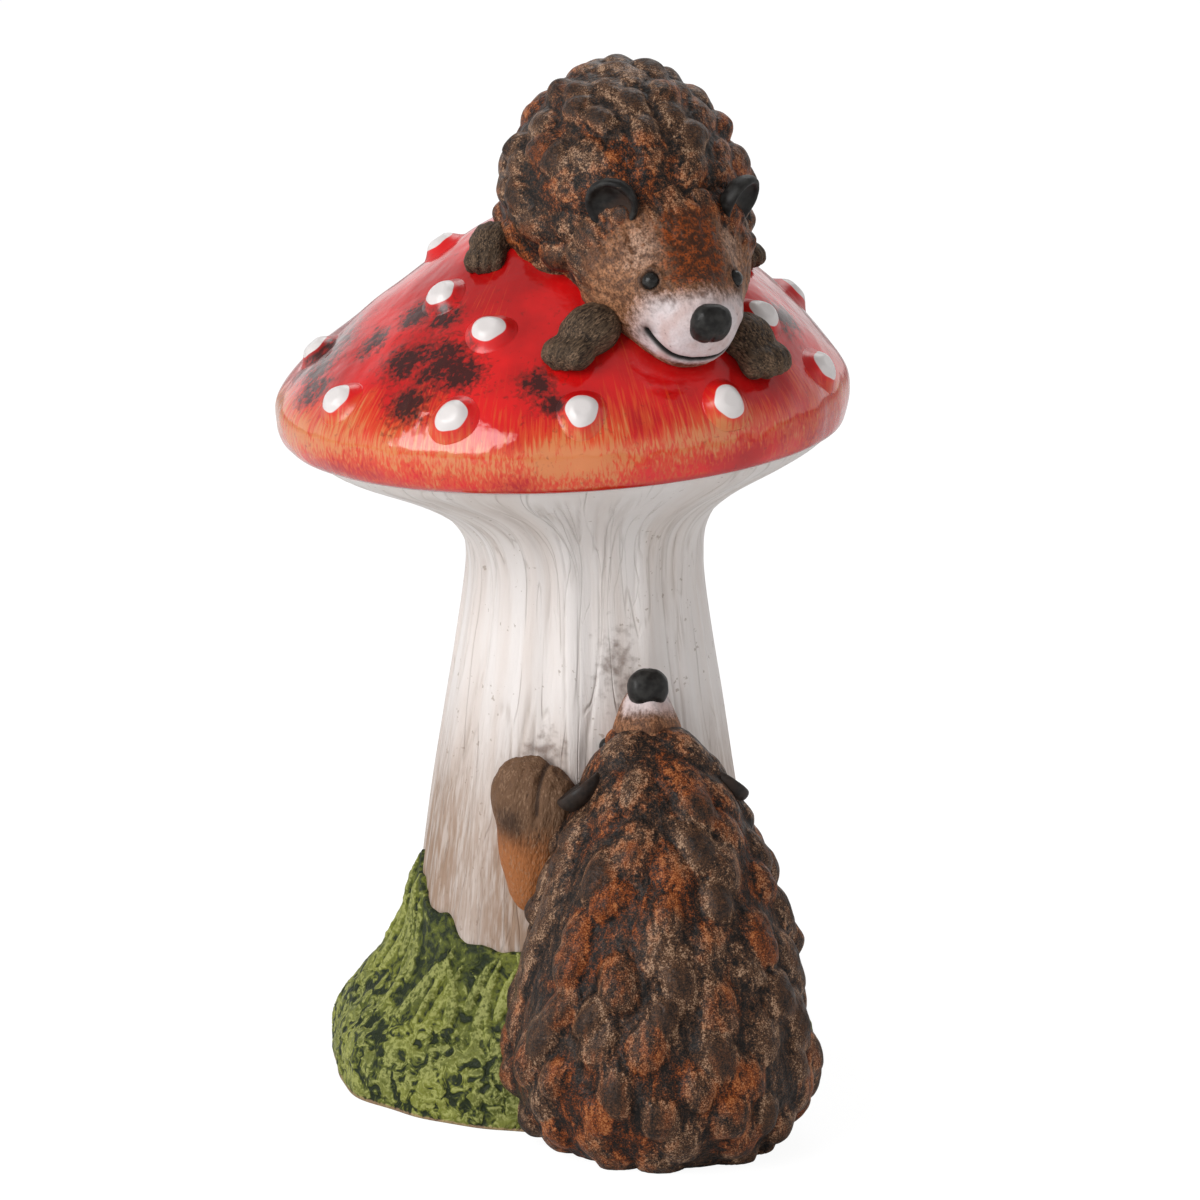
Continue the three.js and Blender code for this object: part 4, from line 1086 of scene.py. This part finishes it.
def resting_face(base):
    """Height and paint fields of the smiling face: cheeks, brows, a dip between them, and the mouth."""
    x, y, z = np.moveaxis(base, -1, 0)
    half = xyz(x, np.abs(y), z)
    away = mouth_distance(base)
    height = 0.9 * near(half, (37, 12.5, -4), 4) + 0.8 * near(half, (28, 9, 9), 5)
    height -= 0.9 * bump(x - 34, 4) * bump(y, 5) * ease(z / 4) + 1.2 * bump(away, 0.7)
    return height, {
        "line": ease((1.3 - away) / 0.7),
        "shade": np.maximum(0.5 * bump(away, 1.6), near(half, MOUTH[0] * (1, -1, 1), 2.2)),
        "muzzle": ease((x - 27 - 6 * ease(z / 7)) / 18) * (1 - 0.7 * ease((-z - 11.5) / 3)),
        "brow": bump(y, 9) * ease((z - 1) / 6) * ease((42 - x) / 7),
        # Pale patch beside each eye, partly a painted highlight on the brow.
        "temple": 0.75 * near(half, (24, 12, 8), 8),
        "coat": ease((23.5 + 5 * clouds(base, 6, 2, 4) - x) / 10),
    }


def climbing_face(base):
    """Height and paint fields of the face on the stalk, whose forehead sinks under the coat."""
    x, y, z = np.moveaxis(base, -1, 0)
    none = np.zeros(x.shape)
    return -2.2 * ease((36 - x) / 6) * bump(y, 10), {
        "line": none, "shade": none, "temple": none, "coat": ease((26 - x) / 8),
        "muzzle": 0.85 * ease((x - 33) / 9) * ease((z + 4) / 6),
        "brow": 0.6 * ease((36 - x) / 10) * ease((z + 4) / 8),
    }


class TOADSTOOL_OT_heads(ToadstoolOperator, bpy.types.Operator):
    """Heads: the CAD skulls with brows, eye rims, cheeks, a smile and fur raised over them"""
    bl_idname = "toadstool.heads"
    bl_label = "Heads"

    def execute(self, context):
        for name, face in (("resting", resting_face), ("climbing", climbing_face)):
            base, relief, tone = knobs(partial(head_point, name), HEAD_GRID, *HEAD_SPINES)
            height, fields = face(base)
            for eye in eye_places(name).values():
                away = far(base, eye)
                height += 0.5 * bump(away - 3.0, 0.8) - 0.5 * bump(away, 2.2)
                fields["line"] = np.maximum(fields["line"], ease((2.7 - away) / 0.6))
                fields["shade"] = np.maximum(fields["shade"], 0.7 * bump(away - 2.6, 1.4))
            grain = base * (HAIR_SQUEEZE, 1, 1)
            height += (1.7 * relief - 0.5) * fields["coat"]
            height += chosen("fur") * clouds(grain, 1.8, 2, 6) * (0.25 + 1.3 * ease((33 - base[..., 0]) / 14))
            fields |= {"grain": grain, "relief": relief, "tone": tone}
            skin(f"{name}_head", moved(raised(base, height), HEAD_FRAMES[name]), fields, "face_paint")
        return {"FINISHED"}


class TOADSTOOL_OT_features(ToadstoolOperator, bpy.types.Operator):
    """Noses as rounded squares with a faint crease, and round eyes"""
    bl_idname = "toadstool.features"
    bl_label = "Noses and eyes"

    def execute(self, context):
        globe = ball(*NOSE_GRID)
        x, y, z = np.moveaxis(globe, -1, 0)
        square = np.hypot(y, z) / (np.abs(y) ** 2.5 + np.abs(z) ** 2.5) ** 0.4
        cushion = xyz(np.sign(x) * np.abs(x) ** 0.85, y * square, z * square)
        plain = {"relief": np.full(x.shape, 0.3), "bare": np.zeros(x.shape)}
        for name, place in HEAD_FRAMES.items():
            ahead, up, shape = HEADS[name]["nose"]
            grid = cushion * NOSE_R * shape * 0.97
            crease = bump(grid[..., 1], 0.5) * ease(2 * x) * ease((1.5 - grid[..., 2]) / 5)
            grid = raised(grid, 0.3 * clouds(grid, 2.2, 3, 3) - 0.4 * crease) + (ahead, 0, up)
            skin(f"{name}_nose", moved(grid, place), plain, "nose_black")
            for side, eye in eye_places(name).items():
                skin(f"{name}_{side}_eye", moved(EYE_R * globe + eye, place), plain, "eye_black")
        return {"FINISHED"}


class TOADSTOOL_OT_ears(ToadstoolOperator, bpy.types.Operator):
    """Ears: thick cups, a profile turned about its axis and pressed uneven"""
    bl_idname = "toadstool.ears"
    bl_label = "Ears"

    def execute(self, context):
        rows, columns = EAR_GRID
        steps = np.linspace(0, len(EAR_PROFILE) - 1, rows)
        r, y = (np.interp(steps, np.arange(len(EAR_PROFILE)), line) for line in EAR_PROFILE.T)
        for line in (r, y):
            line[2:-2] = np.convolve(line, np.ones(5) / 5, "valid")
        r, y, inside = r[:, None], y[:, None], ease((steps - 6.5) / 1.5)[:, None]
        turn = turns(columns)
        cup = EAR_R * xyz(r * np.cos(turn), y, r * np.sin(turn) * 1.05)
        cup = raised(cup, 0.2 * clouds(cup, 3.0, 2, 17))
        for name, place in HEAD_FRAMES.items():
            for side, at in on_head(name, *HEADS[name]["ear"]).items():
                local = placed(at, -np.pi / 2 + 0.6 * SIDES[side])
                bare = inside * ease(0.55 + 0.9 * SIDES[side] * r * np.cos(turn) - 0.5 * r * np.sin(turn))
                if name == "climbing":
                    bare = np.full(bare.shape, 0.6)
                fields = {"relief": 0.8 * ease((y - 0.1) / 0.25), "bare": bare}
                skin(f"{name}_{side}_ear", moved(cup, place @ local), fields, "ear_black")
        return {"FINISHED"}


class TOADSTOOL_OT_paws(ToadstoolOperator, bpy.types.Operator):
    """Paws with toes on the cap, and two-lobed forelegs on the stalk, all with hair strokes"""
    bl_idname = "toadstool.paws"
    bl_label = "Paws"

    def execute(self, context):
        fur = chosen("fur")
        base = blob(PAW_PARTS, 0.7, PAW_GRID)
        grain, none = base * (HAIR_SQUEEZE, 1, 1), np.zeros(base.shape[:2])
        grid = raised(base, 0.8 * fur * clouds(grain, 1.5, 2, 14))
        shade = 0.6 * ease((-base[..., 2] - 1) / 4)
        fields = {"grain": grain, "rust": none, "light": none, "shade": shade}
        for name, (forward, side, splay, size) in PAWS.items():
            spot = moved((forward, side, 0), np.linalg.inv(CAP) @ RESTING)
            z = float(dome_height(spot[0], spot[1])) - RESTING_Z
            local = placed((forward, side, z + 1.95 * size), splay, 0.3)
            skin(f"resting_{name}_paw", moved(grid * size, RESTING @ local), fields, "paw_fur")
        for side, sign in SIDES.items():
            parts = [((x * sign, y, z), axes) for (x, y, z), axes in ARM_PARTS]
            base = blob(parts, 2.2, ARM_GRID, (0, 0, -4))
            grain = base * (1, 1, HAIR_SQUEEZE)
            x, z = base[..., 0] * sign, base[..., 2]
            crease = bump(x - 4.6 + 0.1 * z, 0.9) * ease((z + 2) / 4)
            grid = raised(base, fur * clouds(grain, 1.6, 2, 4) * (0.5 + 1.3 * ease(z / 6)) - 0.8 * crease)
            fields = {
                "grain": grain, "rust": ease((5 - z) / 24), "light": ease((z + 14) / 14),
                "shade": np.maximum(0.7 * bump(np.hypot(x + 3, z + 3), 7), 0.8 * crease),
            }
            skin(f"climbing_{side}_arm", moved(grid, arm_frame(side)), fields, "paw_fur")
        return {"FINISHED"}


# Stage

def paper():
    """White floor that keeps a soft shadow: a pale surface under a white glow that only the camera sees."""
    made = bpy.data.materials.new("floor_paper")
    made.use_nodes = True
    nodes = made.node_tree.nodes
    p = Palette(made.node_tree)
    shader = nodes["Principled BSDF"]
    p.feed(shader, {"Base Color": (PAPER, PAPER, PAPER, 1), "Roughness": 0.9, "Specular IOR Level": 0.1})
    glow = p.add("ShaderNodeEmission", {"Color": (1, 1, 1, 1), "Strength": GLOW})
    share = p.times(p.ray("Camera"), GLOW_SHARE)
    both = p.add("ShaderNodeMixShader", {0: share, 1: shader.outputs[0], 2: glow})
    p.feed(nodes["Material Output"], {"Surface": both})
    return made


def surroundings():
    """World that is white to the camera, dims upwards in reflections, and gives a low light elsewhere."""
    world = bpy.data.worlds.new("surroundings")
    world.use_nodes = True
    p = Palette(world.node_tree)
    up = p.add("ShaderNodeSeparateXYZ", {0: p.add("ShaderNodeTexCoord", {}, "Generated")}, "Z")
    reflected = p.times(p.ray("Glossy"), p.span(up, 0.05, 0.75, 1.0, ZENITH))
    strength = p.most(p.ray("Camera"), p.ray("Transmission"), reflected, DIM)
    p.feed(world.node_tree.nodes["Background"], {"Color": (1, 1, 1, 1), "Strength": strength})
    return world


def aimed(name, data, place, target):
    """Lamp or camera at a place, turned to a target."""
    thing = bpy.data.objects.new(name, data)
    thing.location = place
    thing.rotation_euler = (target - thing.location).to_track_quat("-Z", "Y").to_euler()
    bpy.context.scene.collection.objects.link(thing)
    return thing


class TOADSTOOL_OT_stage(ToadstoolOperator, bpy.types.Operator):
    """White floor and surroundings, soft lamps and the camera"""
    bl_idname = "toadstool.stage"
    bl_label = "Stage"

    def execute(self, context):
        scene = context.scene
        mesh = bpy.data.meshes.new("floor")
        corners = [(x * FLOOR_HALF, y * FLOOR_HALF, 0) for x, y in ((-1, -1), (1, -1), (1, 1), (-1, 1))]
        mesh.from_pydata(corners, [], [(0, 1, 2, 3)])
        mesh.materials.append(paper())
        floor = bpy.data.objects.new("floor", mesh)
        scene.collection.objects.link(floor)
        scene.world = surroundings()
        for name, (place, size, watts) in LAMPS.items():
            lamp = bpy.data.lights.new(name, "AREA")
            lamp.energy, lamp.size = watts, size
            aimed(name, lamp, place, LAMP_TARGET).visible_glossy = name != "fill"
        away = Vector((0, -np.cos(CAMERA_RISE), np.sin(CAMERA_RISE)))
        lens = bpy.data.cameras.new("camera")
        lens.lens, lens.sensor_width, lens.clip_end = CAMERA_LENS, SENSOR_WIDTH, 20.0
        scene.camera = aimed("camera", lens, CAMERA_TARGET + CAMERA_AWAY * away, CAMERA_TARGET)
        scene.view_settings.view_transform = "Standard"
        return {"FINISHED"}


class TOADSTOOL_PT_panel(bpy.types.Panel):
    """Sizes, colours and steps of the toadstool"""
    bl_idname = "TOADSTOOL_PT_panel"
    bl_label = "Toadstool"
    bl_space_type = "VIEW_3D"
    bl_region_type = "UI"
    bl_category = "Toadstool"

    def draw(self, context):
        for group in (context.scene.toadstool_sizes, context.scene.toadstool_colours):
            box = self.layout.box()
            for key in group.bl_rna.properties.keys():
                if key not in {"rna_type", "name"}:
                    box.prop(group, key)
        for operator in OPERATORS:
            self.layout.operator(operator.bl_idname)


OPERATORS = (
    TOADSTOOL_OT_stage, TOADSTOOL_OT_stalk, TOADSTOOL_OT_grass, TOADSTOOL_OT_cap, TOADSTOOL_OT_spots,
    TOADSTOOL_OT_coats, TOADSTOOL_OT_heads, TOADSTOOL_OT_features, TOADSTOOL_OT_ears, TOADSTOOL_OT_paws,
)
CLASSES = (ToadstoolSizes, ToadstoolColours, *OPERATORS, TOADSTOOL_PT_panel)


def register():
    for cls in CLASSES:
        bpy.utils.register_class(cls)
    bpy.types.Scene.toadstool_sizes = bpy.props.PointerProperty(type=ToadstoolSizes)
    bpy.types.Scene.toadstool_colours = bpy.props.PointerProperty(type=ToadstoolColours)


def unregister():
    del bpy.types.Scene.toadstool_colours
    del bpy.types.Scene.toadstool_sizes
    for cls in reversed(CLASSES):
        bpy.utils.unregister_class(cls)


def main():
    register()
    bpy.ops.toadstool.stage()
    bpy.ops.toadstool.stalk()
    bpy.ops.toadstool.grass()
    bpy.ops.toadstool.cap()
    bpy.ops.toadstool.spots()
    bpy.ops.toadstool.coats()
    bpy.ops.toadstool.heads()
    bpy.ops.toadstool.features()
    bpy.ops.toadstool.ears()
    bpy.ops.toadstool.paws()


if __name__ == "__main__":
    main()
